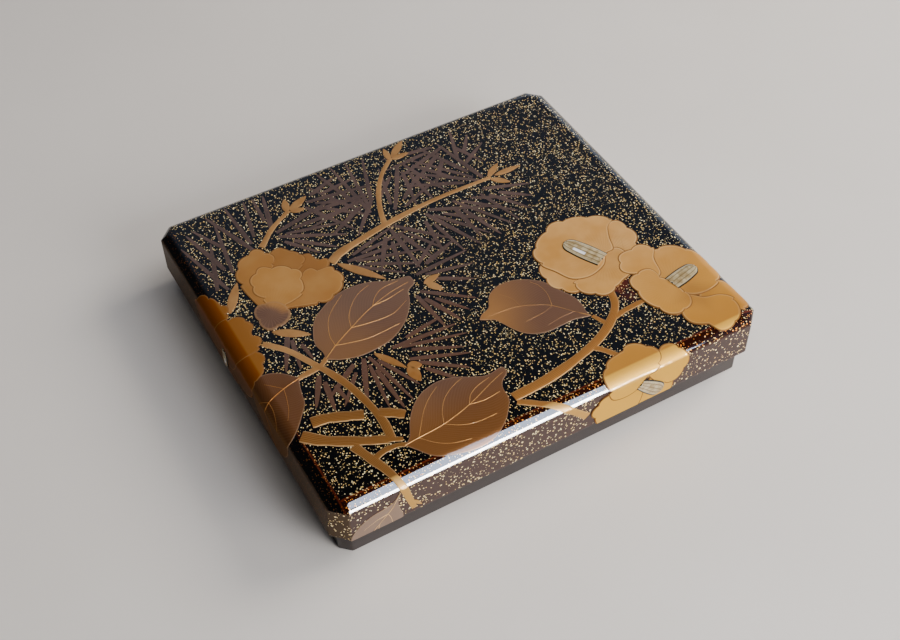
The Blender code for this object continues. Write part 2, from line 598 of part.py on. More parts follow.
def make_inlays(home):
    for flower in FLOWERS:
        if flower.inlay:
            name = flower.inlay.name
            mesh = bent_plate(name, inlay_outline(flower.inlay), -INLAY_SINK, INLAY_PROUD)
            add_object(name, mesh, home, SHELL)


def main():
    for old in list(bpy.data.objects):
        bpy.data.objects.remove(old, do_unlink=True)
    home = collection("writing box")
    make_tray(home)
    make_lid(home)
    make_inlays(home)


main()
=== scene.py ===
"""Looks of the lacquered writing box: powder-gold camellia branches and pine needles over black lacquer."""

from collections import namedtuple
from math import atan2, cos, pi, radians, sin, sqrt

import bmesh
import bpy
import numpy as np
from mathutils import Matrix, Vector


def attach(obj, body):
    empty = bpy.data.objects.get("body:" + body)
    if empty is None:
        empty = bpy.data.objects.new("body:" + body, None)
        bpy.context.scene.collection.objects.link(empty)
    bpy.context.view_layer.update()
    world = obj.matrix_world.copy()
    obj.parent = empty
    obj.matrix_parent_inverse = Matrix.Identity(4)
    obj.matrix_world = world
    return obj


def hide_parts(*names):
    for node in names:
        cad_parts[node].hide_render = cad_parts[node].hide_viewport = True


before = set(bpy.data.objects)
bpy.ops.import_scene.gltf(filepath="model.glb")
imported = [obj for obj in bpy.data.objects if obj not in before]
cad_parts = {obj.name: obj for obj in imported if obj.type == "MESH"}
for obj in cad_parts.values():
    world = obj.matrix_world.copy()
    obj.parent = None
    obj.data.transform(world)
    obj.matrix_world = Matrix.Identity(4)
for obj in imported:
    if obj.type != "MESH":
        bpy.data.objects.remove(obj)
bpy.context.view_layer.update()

# Outside of the closed box, in metres
LENGTH = 0.240
DEPTH = 0.213
HEIGHT = 0.040
LID_EDGE_HEIGHT = 0.016
CORNER_CUT = 0.0075

# Rolled bevel round the lid's flat top
BEVEL_WIDTH = 0.0066
BEVEL_DROP = 0.0033
BEVEL_BENDS = 10
CREASE_BLEND = 0.0008

# Walls and fits
LID_WALL = 0.0039
LID_TOP = 0.0033
FIT_GAP = 0.0005
REST_GAP = 0.0003
TRAY_WALL = 0.0035
TRAY_FLOOR = 0.0035
EDGE_ROUND = 0.0007
INNER_FILLET = 0.0012
EDGE_MARGIN = 0.0004

# Low relief, measured outward from the lid's surface
ROOT = -0.0003
NEEDLE_WIDTH = 0.0030
NEEDLE_GAP = 0.0090
NEEDLE_BREADTHS = (0.82, 1.15)
NEEDLE_LIFT = 0.00003
NEEDLE_STEP = 0.0000006
LEAF_LIFT = 0.00032
LEAF_SWELL = 0.00008
LEAF_END = 0.004
VEIN_RISE = 0.00002
VEIN_WIDTH = 0.00028
VEIN_END = 0.00016
MIDRIB_WIDTH = 0.00042
BRANCH_LIFT = 0.00034
PETAL_LIFT = 0.00032
PETAL_STEP = 0.00011
PETAL_SKIRT = 0.00070
LOBE_DEPTH = 0.0018
LOBE_ROUND = 0.6
INLAY_EDGE = 0.00080
INLAY_DOME = 0.00045
INLAY_RIDGE = 0.00003
INLAY_RIM = 0.0016
INLAY_BULGE = 0.035
SOFT_EDGE = 0.0004
BUD_FOLD = 0.00003

# The rest follows from the sizes above
FLAT = np.array((LENGTH / 2 - BEVEL_WIDTH, DEPTH / 2 - BEVEL_WIDTH))
BEVEL_RADIUS = (BEVEL_WIDTH ** 2 + BEVEL_DROP ** 2) / (2 * BEVEL_DROP)
BEVEL_ANGLE = 2 * atan2(BEVEL_DROP, BEVEL_WIDTH)
BEVEL_LENGTH = BEVEL_RADIUS * BEVEL_ANGLE
CREASE_HEIGHT = HEIGHT - BEVEL_DROP
CUT_LINE = LENGTH / 2 + DEPTH / 2 - CORNER_CUT
LID_SIDE = CREASE_HEIGHT - LID_EDGE_HEIGHT
CEILING_HEIGHT = HEIGHT - LID_TOP
TRAY_INSET = LID_WALL + FIT_GAP

# Steps in which curves and surfaces are drawn
CURVE_STEPS = 12
STROKE_STEPS = 8
PETAL_POINTS = 150
LEAF_STEPS = (64, 24)
BUD_STEPS = (20, 10)
INLAY_STEPS = (46, 110)
NEEDLE_POINTS = 20

# Attributes that the finishes read
CHART = "chart"
ACROSS = "across"

Petal = namedtuple("Petal", "layer lobes rim inside")
Inlay = namedtuple("Inlay", "name foot heading length foot_width end_width")
Flower = namedtuple("Flower", "name heart petals inlay")
Leaf = namedtuple("Leaf", "midrib upper lower veins")
Branch = namedtuple("Branch", "path start_width end_width")
Bud = namedtuple("Bud", "base tip breadth")
Tuft = namedtuple("Tuft", "foot tips")


# Places on the lid, unrolled flat

def at(across, back):
    """Place in per cent of the half length and half depth; past the flat top it runs down the side."""
    return np.array((across / 100 * LENGTH / 2, back / 100 * DEPTH / 2))


def drawn(*places):
    """Places drawn in millimetres from the middle of the lid as designed, 240 by 213."""
    return [np.array((x / 240 * LENGTH, y / 213 * DEPTH)) for x, y in places]


def spot(x, y):
    return drawn((x, y))[0]


# Each petal: its layer, the lobes of its free rim, the rim's places and the places inside the flower
FLOWERS = (
    Flower("right", spot(74, -33), (
        Petal(0, 3, drawn((84, -36), (90, -37), (95.5, -32), (98, -24), (95.5, -14.5), (90, -12.5)),
              drawn((84.5, -18), (82, -27))),
        Petal(0, 3, drawn((42, -20.5), (38.6, -29), (39.5, -38), (45, -45), (51, -47)),
              drawn((56, -42), (54, -30), (47, -23))),
        Petal(1, 3, drawn((49.5, -41), (51, -49), (58, -55), (66, -55), (73, -51), (80, -49)),
              drawn((85, -40), (84, -31.5), (78, -29.5), (72, -33), (66, -38), (57, -39.5))),
        Petal(2, 5, drawn((42.5, -21), (44, -11), (52, -4.5), (63, 1.5), (75, 0), (86, -4.5), (93, -11)),
              drawn((88, -15), (84, -22), (81, -30), (76, -31), (70, -37.5), (60, -40.5), (51, -37.5),
                    (46.5, -29))),
    ), Inlay("inlay_right", spot(71.8, -34.2), 117, 0.0232, 0.45, 0.36)),
    Flower("corner", spot(92, -68), (
        Petal(0, 2, drawn((111, -75), (117.5, -78.5), (120.5, -87), (119, -95), (114, -98.5)),
              drawn((109, -93), (103, -86), (100, -80))),
        Petal(1, 4, drawn((92, -52), (94.5, -44.5), (101, -41), (109, -44), (116, -51), (119.5, -60),
                          (119, -70), (114, -77)), drawn((104, -79), (96, -76), (90, -66))),
        Petal(2, 3, drawn((80, -52), (76, -45), (79.5, -37.5), (86, -35), (94, -34.8), (99.5, -40)),
              drawn((95, -47), (92, -57), (86, -58))),
        Petal(2, 3, drawn((84.5, -84), (85.5, -92), (91, -98), (96, -103.5), (105, -103.5), (111, -98),
                          (113.5, -90)), drawn((109, -84.5), (101, -82), (94, -76), (88, -79))),
        Petal(3, 6, drawn((73.5, -62), (75.5, -54), (82, -50.5), (89, -52.5), (91.5, -60), (94, -69),
                          (96, -76), (92, -83), (85, -85), (78, -80.5), (74.5, -71)), []),
    ), Inlay("inlay_corner", spot(92.6, -66.2), 12.5, 0.0183, 0.51, 0.40)),
    Flower("front", spot(45, -112), (
        Petal(0, 1, drawn((63, -118), (66, -124), (63, -130)), drawn((46, -130), (44, -120), (52, -112))),
        Petal(1, 3, drawn((58, -101), (64, -98), (70, -100), (73.5, -108), (73.5, -115), (68, -121.5),
                          (60, -121)), drawn((53, -113), (50, -106))),
        Petal(2, 3, drawn((30, -109), (22, -111.5), (18, -118), (20, -125), (26, -131)),
              drawn((42, -131), (47, -122), (45, -113), (38, -108))),
        Petal(3, 4, drawn((27, -108), (28, -100), (33, -94), (41, -91.5), (49, -89), (57, -93), (60, -99.5),
                          (57, -106)), drawn((48, -109), (44.5, -114.5), (37, -116.5), (30, -114.5))),
    ), Inlay("inlay_front", spot(45.3, -112.5), -41, 0.90 * LID_SIDE, 0.33, 0.47)),
    Flower("left", spot(-134, 14), (
        Petal(0, 4, drawn((-129, -10), (-137, -2), (-140, 14), (-138, 32), (-130, 40)),
              drawn((-124, 28), (-124, 2))),
        Petal(1, 4, drawn((-128, 52), (-119, 49), (-114.5, 44), (-113, 39), (-110, 34), (-111.5, 29)),
              drawn((-116, 24), (-126, 18), (-134, 26), (-134, 42))),
        Petal(1, 3, drawn((-110.5, 0.5), (-107.5, -6), (-110, -11.5), (-113, -15), (-119, -19), (-128, -17)),
              drawn((-134, -6), (-128, 6), (-118, 6))),
        Petal(2, 3, drawn((-113, 25.5), (-106, 22.5), (-104, 16), (-106, 11.5), (-104, 6), (-107, 1)),
              drawn((-112, -1), (-122, 0), (-132, 8), (-131, 20), (-122, 25))),
    ), Inlay("inlay_left", spot(-125.5, 14.4), 172, 0.63 * LID_SIDE, 0.31, 0.43)),
    Flower("half_open", spot(-93, 18), (
        Petal(0, 2, drawn((-64, 47), (-58, 46.8), (-56, 42.3), (-51.5, 39.5), (-52, 35), (-56, 32)),
              drawn((-64, 34), (-70, 40))),
        Petal(1, 3, drawn((-76, 57), (-71, 58.3), (-67, 57.5), (-65.5, 53.2), (-61.5, 50), (-61, 45),
                          (-64, 41)), drawn((-70, 39), (-78, 44), (-80, 52))),
        Petal(2, 4, drawn((-97.5, 44), (-96.5, 52), (-92.5, 58.5), (-87, 62), (-81, 63.6), (-76.5, 59.5),
                          (-74.5, 54), (-77, 48.5)), drawn((-84, 42), (-90, 30), (-94, 23), (-96.5, 32))),
        Petal(2, 5, drawn((-68, 35.5), (-62, 36.8), (-57.5, 34), (-51.5, 32), (-50, 26), (-50.5, 20),
                          (-56, 15), (-62, 12), (-69, 12.8)),
              drawn((-80, 16.5), (-90, 20), (-90, 25), (-78, 30))),
        Petal(3, 6, drawn((-92, 29), (-94, 37), (-91.5, 45), (-85, 50), (-79, 48), (-74.5, 46), (-69, 41.5),
                          (-67, 36), (-69.5, 29), (-73, 22.5)), drawn((-82, 20), (-90, 20.5))),
    ), None),
)
CALYX = Petal(4, 4, drawn((-100.5, 17), (-98, 24), (-93, 26.5), (-87, 23.5), (-83, 17), (-86, 11.5), (-92, 8),
                          (-98, 9.5)), [])

# Each leaf: its midrib from stalk to tip, its two edges between those ends, and its side veins
LEAVES = (
    Leaf(drawn((-82, -22.5), (-74, -17), (-62, -10.5), (-50, -4.5), (-36, 0.5), (-19.5, 3.5)),
         drawn((-81.2, -18), (-82.2, -12), (-80.5, -5.5), (-75, 4), (-65, 10.8), (-57, 13.8), (-49, 14.4),
               (-40, 13), (-31, 8.8), (-25, 7.4), (-20.2, 6.4)),
         drawn((-78.6, -24.6), (-75, -26.6), (-66, -29), (-55, -28.6), (-47, -26.7), (-38, -21.2), (-32, -15),
               (-27.9, -8.6), (-25.4, -2.6), (-20.2, 0.6)),
         (drawn((-74, -17), (-73.6, -10), (-70, -1), (-65, 5), (-56, 12)),
          drawn((-62, -10.5), (-59.5, -3), (-54, 4), (-48, 8.6), (-41, 11.2)),
          drawn((-46, -2.8), (-42, 2.2), (-36, 5.6), (-27, 6.2)),
          drawn((-74, -17), (-66, -19.2), (-56, -21), (-40, -20)),
          drawn((-62, -10.5), (-52, -12.2), (-40, -12.6), (-29.5, -8)),
          drawn((-46, -2.8), (-37, -2.4), (-27, -0.4)))),
    Leaf(drawn((-73.5, -87.5), (-65, -86.8), (-52, -85.8), (-36, -81.8), (-20, -75.4), (-9.8, -72)),
         drawn((-70.8, -85.6), (-68.4, -82.6), (-65, -76.4), (-60, -70), (-53.6, -65), (-46.4, -62.4),
               (-39.3, -62.1), (-32.1, -64.3), (-26.4, -67.6), (-19.5, -70.4), (-11, -69.5)),
         drawn((-71.8, -89.8), (-69.5, -93), (-65.7, -98.4), (-60.7, -101.6), (-52, -104), (-42, -105),
               (-33.6, -103.4), (-26.4, -98.8), (-21.4, -93.4), (-17.8, -88), (-17, -81), (-14.6, -77),
               (-10.8, -74.4)),
         (drawn((-66, -87), (-62, -81.6), (-57, -75), (-51, -69.2), (-44, -64.6)),
          drawn((-52, -85.8), (-49, -79), (-44.5, -73), (-38, -68.6), (-31, -66)),
          drawn((-36, -81.8), (-32.5, -77), (-27, -74), (-19.5, -72.2)),
          drawn((-66, -87), (-60.5, -93.2), (-54, -97.4), (-45, -99.6)),
          drawn((-52, -85.8), (-45, -90.4), (-37, -92.6), (-27.5, -92.8)),
          drawn((-36, -81.8), (-28, -83), (-19.5, -82.2)))),
    Leaf(drawn((45.2, -63.6), (39.3, -57.1), (31.9, -48.1), (25, -43.6), (15, -39.6), (-4.4, -38)),
         drawn((44.6, -60), (45.3, -56), (45.3, -51.5), (44, -46.6), (41.4, -41.4), (39.3, -36.4),
               (37.1, -32.1), (33.4, -28.2), (28.6, -25), (23.6, -22.9), (17.9, -22.3), (12.9, -23.3),
               (8.4, -26), (5.6, -30), (3.4, -33.4), (-1.6, -35.4)),
         drawn((42, -62.8), (36.4, -61.4), (29.3, -61.6), (22, -61.7), (15.7, -60.2), (10.7, -57), (7.1, -52),
               (4.4, -46), (2.2, -41.8), (-1.4, -39.8)),
         (drawn((31.9, -48.1), (34.2, -40), (33.6, -33), (31, -28.6)),
          drawn((18, -40.8), (17, -34), (13, -28)),
          drawn((39.3, -57.1), (32, -57), (23, -58.2)),
          drawn((31.9, -48.1), (25, -50), (15, -50.6)))),
    Leaf(drawn((-98, -26.6), (-107.5, -29), (-117, -32.6), (-129, -38), (-140, -44)),
         drawn((-100.6, -23.6), (-104, -20), (-109, -17), (-115, -16.2), (-121, -18), (-128, -21),
               (-135, -28)),
         drawn((-99.6, -30), (-101.2, -36), (-102.6, -42), (-106.4, -47.2), (-112, -54), (-117, -58),
               (-123, -59), (-130, -57), (-136, -52)),
         (drawn((-107.5, -29), (-110.4, -26), (-114.5, -22)),
          drawn((-107.5, -29), (-108.8, -35), (-111, -42), (-114, -47.5)),
          drawn((-117, -32.6), (-117.4, -39), (-119.8, -46), (-124, -51)),
          drawn((-117, -32.6), (-121, -28.6), (-126, -26.5)))),
    Leaf(drawn((-86.6, -108.4), (-91, -117), (-95, -121.5), (-101, -128), (-105, -135)),
         drawn((-88.8, -111.6), (-91, -114), (-95.5, -115.4), (-101, -116.3), (-106, -118.5), (-110, -122),
               (-112.6, -127), (-112, -132)),
         drawn((-87.3, -112), (-87.9, -116), (-86.9, -121), (-85.8, -126), (-87, -131), (-95, -135)),
         (drawn((-93.4, -120), (-92, -124), (-91.3, -130)),
          drawn((-93.4, -120), (-99.5, -121), (-106, -124)),
          drawn((-98, -124.6), (-98.6, -128), (-98, -132)))),
)

BRANCHES = (
    Branch(drawn((-104.4, 2.1), (-95.6, -8), (-88.4, -22), (-83.6, -32), (-79.4, -44), (-76.6, -58),
                 (-75.6, -70), (-76.8, -80.5)), 0.0030, 0.0044),
    Branch(drawn((-105, -54), (-97, -55.4), (-89, -58.8), (-81.6, -62)), 0.0062, 0.0056),
    Branch(drawn((-74.8, -64.6), (-70, -67.4), (-64.8, -71.4)), 0.0056, 0.0052),
    Branch(drawn((-112.5, -58.8), (-106, -65), (-98, -70.4), (-89, -75.4), (-78.6, -80.4)), 0.0066, 0.0048),
    Branch(drawn((-80.6, -79.5), (-72.4, -83.6)), 0.0036, 0.0022),
    Branch(drawn((-94.2, -76), (-91, -85), (-87.4, -95), (-85.2, -104), (-82.6, -114), (-79.8, -125)),
           0.0052, 0.0030),
    Branch(drawn((-90, -87.4), (-83.6, -85.4), (-77, -85.4), (-72, -87.4)), 0.0036, 0.0022),
    Branch(drawn((-90, -25.4), (-86, -25), (-81, -21.6)), 0.0034, 0.0022),
    Branch(drawn((-108, -29), (-98, -26.6), (-87, -25.4)), 0.0022, 0.0034),
    Branch((at(-13, -83), at(2, -82), at(17, -79), at(32, -74), at(43, -67), at(50, -59), at(52.5, -50)),
           0.0056, 0.0040),
    Branch((at(43, -67), at(50, -65), at(62, -64)), 0.0032, 0.0028),
    Branch((at(27.5, -75), at(32, -81), at(36, -88)), 0.0034, 0.0028),
    Branch((at(-13, -86), at(-7, -91), at(3, -100), at(12.5, -111)), 0.0032, 0.0042),
    Branch((at(-42, 33), at(-36, 37), at(-25, 40), at(-7, 44), at(17, 47), at(46, 47)), 0.0054, 0.0021),
    Branch((at(-11, 43), at(-8, 54.5), at(-3, 67), at(4, 78), at(12.5, 86.5)), 0.0030, 0.0022),
    Branch((at(-64, 60), at(-55, 69.5), at(-44, 77)), 0.0032, 0.0022),
    Branch((at(38, -60), at(41, -68)), 0.0020, 0.0028),
)

BUDS = (
    Bud(at(-92, 27), at(-82, 44), 0.0050),
    Bud(at(-81, 6.5), at(-67.5, -4), 0.0050),
    Bud(at(-40, 31), at(-26, 10), 0.0048),
    Bud(at(-50, -29), at(-42, -44), 0.0038),
    Bud(at(45, 48), at(53.5, 54.5), 0.0038),
    Bud(at(48, 47.3), at(62, 47.3), 0.0034),
    Bud(at(45, 46), at(52.0, 39), 0.0038),
    Bud(at(11.5, 85), at(12.5, 95), 0.0036),
    Bud(at(13, 86.5), at(23, 96), 0.0042),
    Bud(at(12.5, 85.5), at(21.5, 85.5), 0.0034),
    Bud(at(-45, 76.5), at(-42.5, 86), 0.0042),
    Bud(at(-43.5, 77), at(-33, 82.5), 0.0046),
    Bud(at(-43.5, 76), at(-37, 74.5), 0.0034),
    Bud(at(-13.5, -2), at(-5, 0), 0.0040),
    Bud(at(-12.5, -2), at(-8, -10), 0.0044),
    Bud(at(-41.5, -43), at(-36, -46), 0.0052),
    Bud(at(-41.2, -43.5), at(-40.5, -54), 0.0058),
    Bud(spot(-80.4, -119), spot(-75.8, -125), 0.0018),
)

# Pine needles: the foot of each tuft and the tips of its needles
TUFTS = (
    Tuft(spot(-80, 60), drawn((-94, 100), (-82, 102), (-71, 101))),
    Tuft(spot(-98, 50), drawn((-91, 96), (-108, 92))),
    Tuft(spot(-88, 60), drawn((-104, 94))),
    Tuft(spot(-103, 40), drawn((-114, 84))),
    Tuft(spot(-112, 38), drawn((-99, 80))),
    Tuft(spot(-68, 68), drawn((-66, 101), (-60, 100))),
    Tuft(spot(-70, 69), drawn((-52, 45), (-42, 44), (-33, 50), (-26, 58), (-22, 68), (-26, 79))),
    Tuft(spot(-46, 84), drawn((-20, 94), (-8, 88), (-4, 78), (-8, 67), (-16, 57), (-28, 51))),
    Tuft(spot(-15, 54), drawn((-36, 94), (-27, 101), (-18, 102), (-9, 102), (1, 100))),
    Tuft(spot(-6, 72), drawn((-50, 76), (-49, 64), (-41, 53), (-29, 46))),
    Tuft(spot(-5, 50), drawn((28, 64), (22, 73), (14, 82), (5, 88))),
    Tuft(spot(17, 88), drawn((-10, 62), (-2, 54), (9, 51), (19, 50), (29, 51), (39, 58))),
    Tuft(spot(52, 48), drawn((10, 68), (14, 79), (22, 87), (32, 92), (43, 90))),
    Tuft(spot(48, 87), drawn((10, 93), (8, 84), (10, 75), (16, 67), (25, 59), (58, 64))),
    Tuft(spot(44, 64), drawn((55, 96), (62, 88), (66, 78))),
    Tuft(spot(-47, 32), drawn((-8, 44), (-4, 37), (-2, 29), (-4, 20), (-11, 12), (-20, 9))),
    Tuft(spot(-12, 46), drawn((-31, 16), (-22, 11), (-12, 9), (-2, 9), (7, 12), (13, 19))),
    Tuft(spot(8, 47), drawn((4, 12), (14, 8), (24, 8), (32, 13), (38, 21), (43, 30))),
    Tuft(spot(25, 48), drawn((27, 13), (37, 9), (47, 12), (54, 20), (60, 29))),
    Tuft(spot(42, 46), drawn((51, 14), (61, 18), (67, 26), (71, 35))),
    Tuft(spot(-21, 5), drawn((9, 27), (13, 18), (15, 8), (13, -2), (8, -12))),
    Tuft(spot(-24, -3), drawn((-21, -33), (-12, -33), (-5, -29), (2, -24))),
    Tuft(spot(-64, -27), drawn((-91, -45), (-87, -53), (-78, -59), (-69, -64), (-63, -68), (-57, -66),
                               (-50, -59))),
    Tuft(spot(-55, -32), drawn((-20, -26), (-16, -34), (-14, -42), (-20, -49))),
    Tuft(spot(-51, -41), drawn((-19, -54), (-24, -62), (-31, -67))),
    Tuft(spot(-87, -26), drawn((-99, -47), (-92, -53), (-84, -52))),
    Tuft(spot(-89, 6), drawn((-102, -20), (-95, -22), (-87, -19))),
)


# The lid's profile

def profile(past):
    """Way out, fall and lean of the outward normal at distances past the edge of the flat top."""
    angle = np.clip(past, 0, BEVEL_LENGTH) / BEVEL_RADIUS
    out = np.where(past < 0, past, BEVEL_RADIUS * np.sin(angle))
    fall = BEVEL_RADIUS * (1 - np.cos(angle)) + np.clip(past - BEVEL_LENGTH, 0, None)
    crease = np.clip((past - BEVEL_LENGTH) / CREASE_BLEND + 0.5, 0, 1)
    return out, fall, angle + (pi / 2 - BEVEL_ANGLE) * crease


def lay_over_lid(points):
    """Bend points of the flat drawing, whose height is their lift, over the lid."""
    side = np.sign(points[:, :2])
    out, fall, lean = profile(np.abs(points[:, :2]) - FLAT)
    plan = FLAT + out
    corner = (plan.sum(1) - FLAT.sum() - BEVEL_WIDTH * (2 - sqrt(2)) + CORNER_CUT) / sqrt(2)
    corner_lean = np.arcsin(np.clip(corner, 0, BEVEL_WIDTH) / BEVEL_RADIUS)
    falls = np.column_stack((fall, BEVEL_RADIUS * (1 - np.cos(corner_lean))))
    steepest = falls.argmax(1)
    rows = np.arange(len(points))
    lean = np.column_stack((lean, corner_lean))[rows, steepest]
    toward = np.array(((1, 0), (0, 1), (sqrt(0.5), sqrt(0.5))))[steepest]
    lift = points[:, 2]
    plan = plan + toward * (np.sin(lean) * lift)[:, None]
    height = HEIGHT - falls[rows, steepest] + np.cos(lean) * lift
    return np.column_stack((side * plan, height))


# Outlines in the flat drawing

def petal_outline(petal, count):
    """Closed smooth curve through a petal's places, with rounded lobes along its free rim."""
    places = [*petal.rim, *petal.inside]
    loop = np.array(places[-1:] + places + places[:2])
    dense = np.vstack([smooth_path(loop[i:i + 4], CURVE_STEPS)[CURVE_STEPS:2 * CURVE_STEPS]
                       for i in range(len(places))])
    steps = np.hypot(*(np.roll(dense, -1, 0) - dense).T)
    length = np.concatenate(([0], np.cumsum(steps)))
    rim_end = length[CURVE_STEPS * (len(petal.rim) - (1 if petal.inside else 0))]
    walk = np.arange(count) * length[-1] / count
    closed = np.vstack((dense, dense[:1]))
    outline = np.column_stack([np.interp(walk, length, closed[:, axis]) for axis in (0, 1)])
    ahead = np.roll(outline, -1, 0) - np.roll(outline, 1, 0)
    outward = np.column_stack((ahead[:, 1], -ahead[:, 0])) / np.hypot(*ahead.T)[:, None]
    here, there = outline, np.roll(outline, -1, 0)
    if (here[:, 0] * there[:, 1] - here[:, 1] * there[:, 0]).sum() < 0:
        outward = -outward
    share = walk / rim_end
    notch = np.where(share < 1, 1 - np.abs(np.sin(pi * petal.lobes * share)) ** LOBE_ROUND, 0)
    return outline - outward * (LOBE_DEPTH * notch)[:, None]


def clipped(outline, axis, limit):
    """The part of an outline whose coordinate on the axis is no lower than the limit."""
    kept = []
    for here, there in zip(outline, np.roll(outline, -1, 0)):
        if here[axis] >= limit:
            kept.append(here)
        if (here[axis] < limit) != (there[axis] < limit):
            kept.append(here + (there - here) * (limit - here[axis]) / (there[axis] - here[axis]))
    return np.array(kept)


def above_lid_edge(outline):
    for axis in (0, 1):
        outline = clipped(outline, axis, -FLAT[axis] - BEVEL_LENGTH - LID_SIDE + EDGE_MARGIN)
    return outline


def smooth_path(points, steps):
    """Catmull-Rom curve through the points."""
    ends = [2 * points[0] - points[1], *points, 2 * points[-1] - points[-2]]
    path = []
    for a, b, c, d in zip(ends, ends[1:], ends[2:], ends[3:]):
        for t in np.arange(steps) / steps:
            path.append(0.5 * (2 * b + (c - a) * t + (2 * a - 5 * b + 4 * c - d) * t * t
                               + (3 * b - a - 3 * c + d) * t ** 3))
    path.append(points[-1])
    return np.array(path)


# Closed shells in the flat drawing

class Drawing:
    """Closed shells gathered flat, then bent over the lid together as one piece."""

    def __init__(self, name):
        self.name = name
        self.points = []
        self.faces = []
        self.charts = []
        self.total = 0

    def add(self, points, faces, chart):
        self.points.append(points)
        self.charts.append(chart)
        self.faces.extend([tuple(index + self.total for index in face) for face in faces])
        self.total += len(points)

    def piece(self, finish):
        mesh = bpy.data.meshes.new(self.name)
        mesh.from_pydata(np.vstack(self.points), [], self.faces)
        chart = mesh.attributes.new(CHART, "FLOAT_VECTOR", "POINT")
        chart.data.foreach_set("vector", np.vstack(self.charts).ravel())
        return bent_piece(self.name, mesh, finish)


def cut(shell, place, across, drop_outer=False):
    """Cut a shell along an upright plane, and leave out what lies beyond it where that is asked."""
    everything = shell.verts[:] + shell.edges[:] + shell.faces[:]
    bmesh.ops.bisect_plane(shell, geom=everything, dist=1e-7, plane_co=place, plane_no=across,
                           clear_outer=drop_outer)


def bent_piece(name, mesh, finish):
    """Object from a flat mesh, cut off at the lid's lower edge, cut where the lid bends and laid over it."""
    shell = bmesh.new()
    shell.from_mesh(mesh)
    for axis in (0, 1):
        across = Vector((1 - axis, axis, 0))
        lower_edge = FLAT[axis] + BEVEL_LENGTH + LID_SIDE - EDGE_MARGIN
        for side in (1, -1):
            cut(shell, across * (side * lower_edge), across * side, drop_outer=True)
            open_edges = [edge for edge in shell.edges if edge.is_boundary]
            if open_edges:
                bmesh.ops.holes_fill(shell, edges=open_edges)
        for step in range(BEVEL_BENDS + 1):
            reach = FLAT[axis] + BEVEL_LENGTH * step / BEVEL_BENDS
            cut(shell, across * reach, across)
            cut(shell, across * -reach, across)
    closed_mesh(shell, mesh)
    change_points(mesh, lay_over_lid)
    return finished(name, mesh, finish)


def closed_mesh(shell, mesh):
    """Write a shell to its mesh with all faces turned outward."""
    bmesh.ops.recalc_face_normals(shell, faces=shell.faces)
    shell.to_mesh(mesh)
    shell.free()


def change_points(mesh, change):
    """Move a mesh's points as a function of them says."""
    points = np.zeros(len(mesh.vertices) * 3, np.float32)
    mesh.vertices.foreach_get("co", points)
    mesh.vertices.foreach_set("co", change(points.reshape(-1, 3).astype(float)).ravel())


def finished(name, mesh, finish, sharp=38):
    """Object of a finished mesh that rides on the box."""
    mesh.materials.clear()
    mesh.materials.append(finish)
    mesh.update()
    mesh.shade_smooth()
    mesh.set_sharp_from_angle(angle=radians(sharp))
    piece = bpy.data.objects.new(name, mesh)
    bpy.context.scene.collection.objects.link(piece)
    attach(piece, "root")
    return piece


def ring_shell(outline, heart, lift, rings):
    """Closed shell filled with rings from its outline to its middle.

    Its chart holds the way out from the flower's heart, the angle round it and the rim distance.
    """
    middle = outline.mean(0)
    spokes = outline - middle
    reach = np.hypot(*spokes.T)[:, None]
    levels, rims = [], []
    for distance, share in rings:
        inward = 1 - (1 - distance / reach) * (1 - share)
        levels.append(middle + spokes * (1 - inward))
        rims.append((inward * reach)[:, 0])
    flat = np.vstack((*levels, middle[None]))
    rim = np.concatenate((*rims, [reach.mean()]))
    offset = flat - heart
    angle = np.arctan2(offset[:, 1], offset[:, 0])
    chart = np.column_stack((np.hypot(*offset.T), angle, rim))
    top = np.column_stack((flat, lift(rim)))
    base = np.column_stack((flat, np.full(len(flat), ROOT)))
    count, total = len(outline), len(flat)
    around = [(i, (i + 1) % count) for i in range(count)]
    faces = []
    for level in range(len(levels) - 1):
        a, b = level * count, (level + 1) * count
        faces += [(a + i, a + j, b + j, b + i) for i, j in around]
        faces += [(total + b + i, total + b + j, total + a + j, total + a + i) for i, j in around]
    last = (len(levels) - 1) * count
    faces += [(last + i, last + j, total - 1) for i, j in around]
    faces += [(total + last + j, total + last + i, 2 * total - 1) for i, j in around]
    faces += [(total + i, total + j, j, i) for i, j in around]
    return np.vstack((top, base)), faces, np.vstack((chart, chart))


def strip_shell(flat, lift):
    """Closed shell from rows of places.

    Its chart holds the share along, the share across and the rim distance.
    """
    rows, wide = flat.shape[0] - 1, flat.shape[1]
    t, s = np.meshgrid(np.linspace(0, 1, rows + 1), np.linspace(-1, 1, wide), indexing="ij")
    to_side = np.where(s > 0, distance(flat, flat[:, -1:]), distance(flat, flat[:, :1]))
    to_end = np.minimum(distance(flat, flat[0].mean(0)), distance(flat, flat[-1].mean(0)))
    rim = np.minimum(to_side, to_end)
    flat = flat.reshape(-1, 2)
    chart = np.column_stack((t.ravel(), s.ravel(), rim.ravel()))
    top = np.column_stack((flat, lift(t, s, rim).ravel()))
    under = np.column_stack((flat, np.full(len(flat), ROOT)))
    total = len(flat)
    faces = []
    for row in range(rows):
        for column in range(wide - 1):
            a = row * wide + column
            quad = (a, a + 1, a + wide + 1, a + wide)
            faces.append(quad)
            faces.append(tuple(total + index for index in reversed(quad)))
    border = list(range(wide)) + [row * wide + wide - 1 for row in range(1, rows + 1)]
    border += [rows * wide + column for column in range(wide - 2, -1, -1)]
    border += [row * wide for row in range(rows - 1, 0, -1)]
    for here, there in zip(border, border[1:] + border[:1]):
        faces.append((here, total + here, total + there, there))
    return np.vstack((top, under)), faces, np.vstack((chart, chart))


def distance(places, others):
    return np.hypot(*np.moveaxis(places - others, -1, 0))


def soft_edge(rim):
    """Share of the full height near a rim, which is a little rounded."""
    return 0.75 + 0.25 * np.clip(rim / SOFT_EDGE, 0, 1)


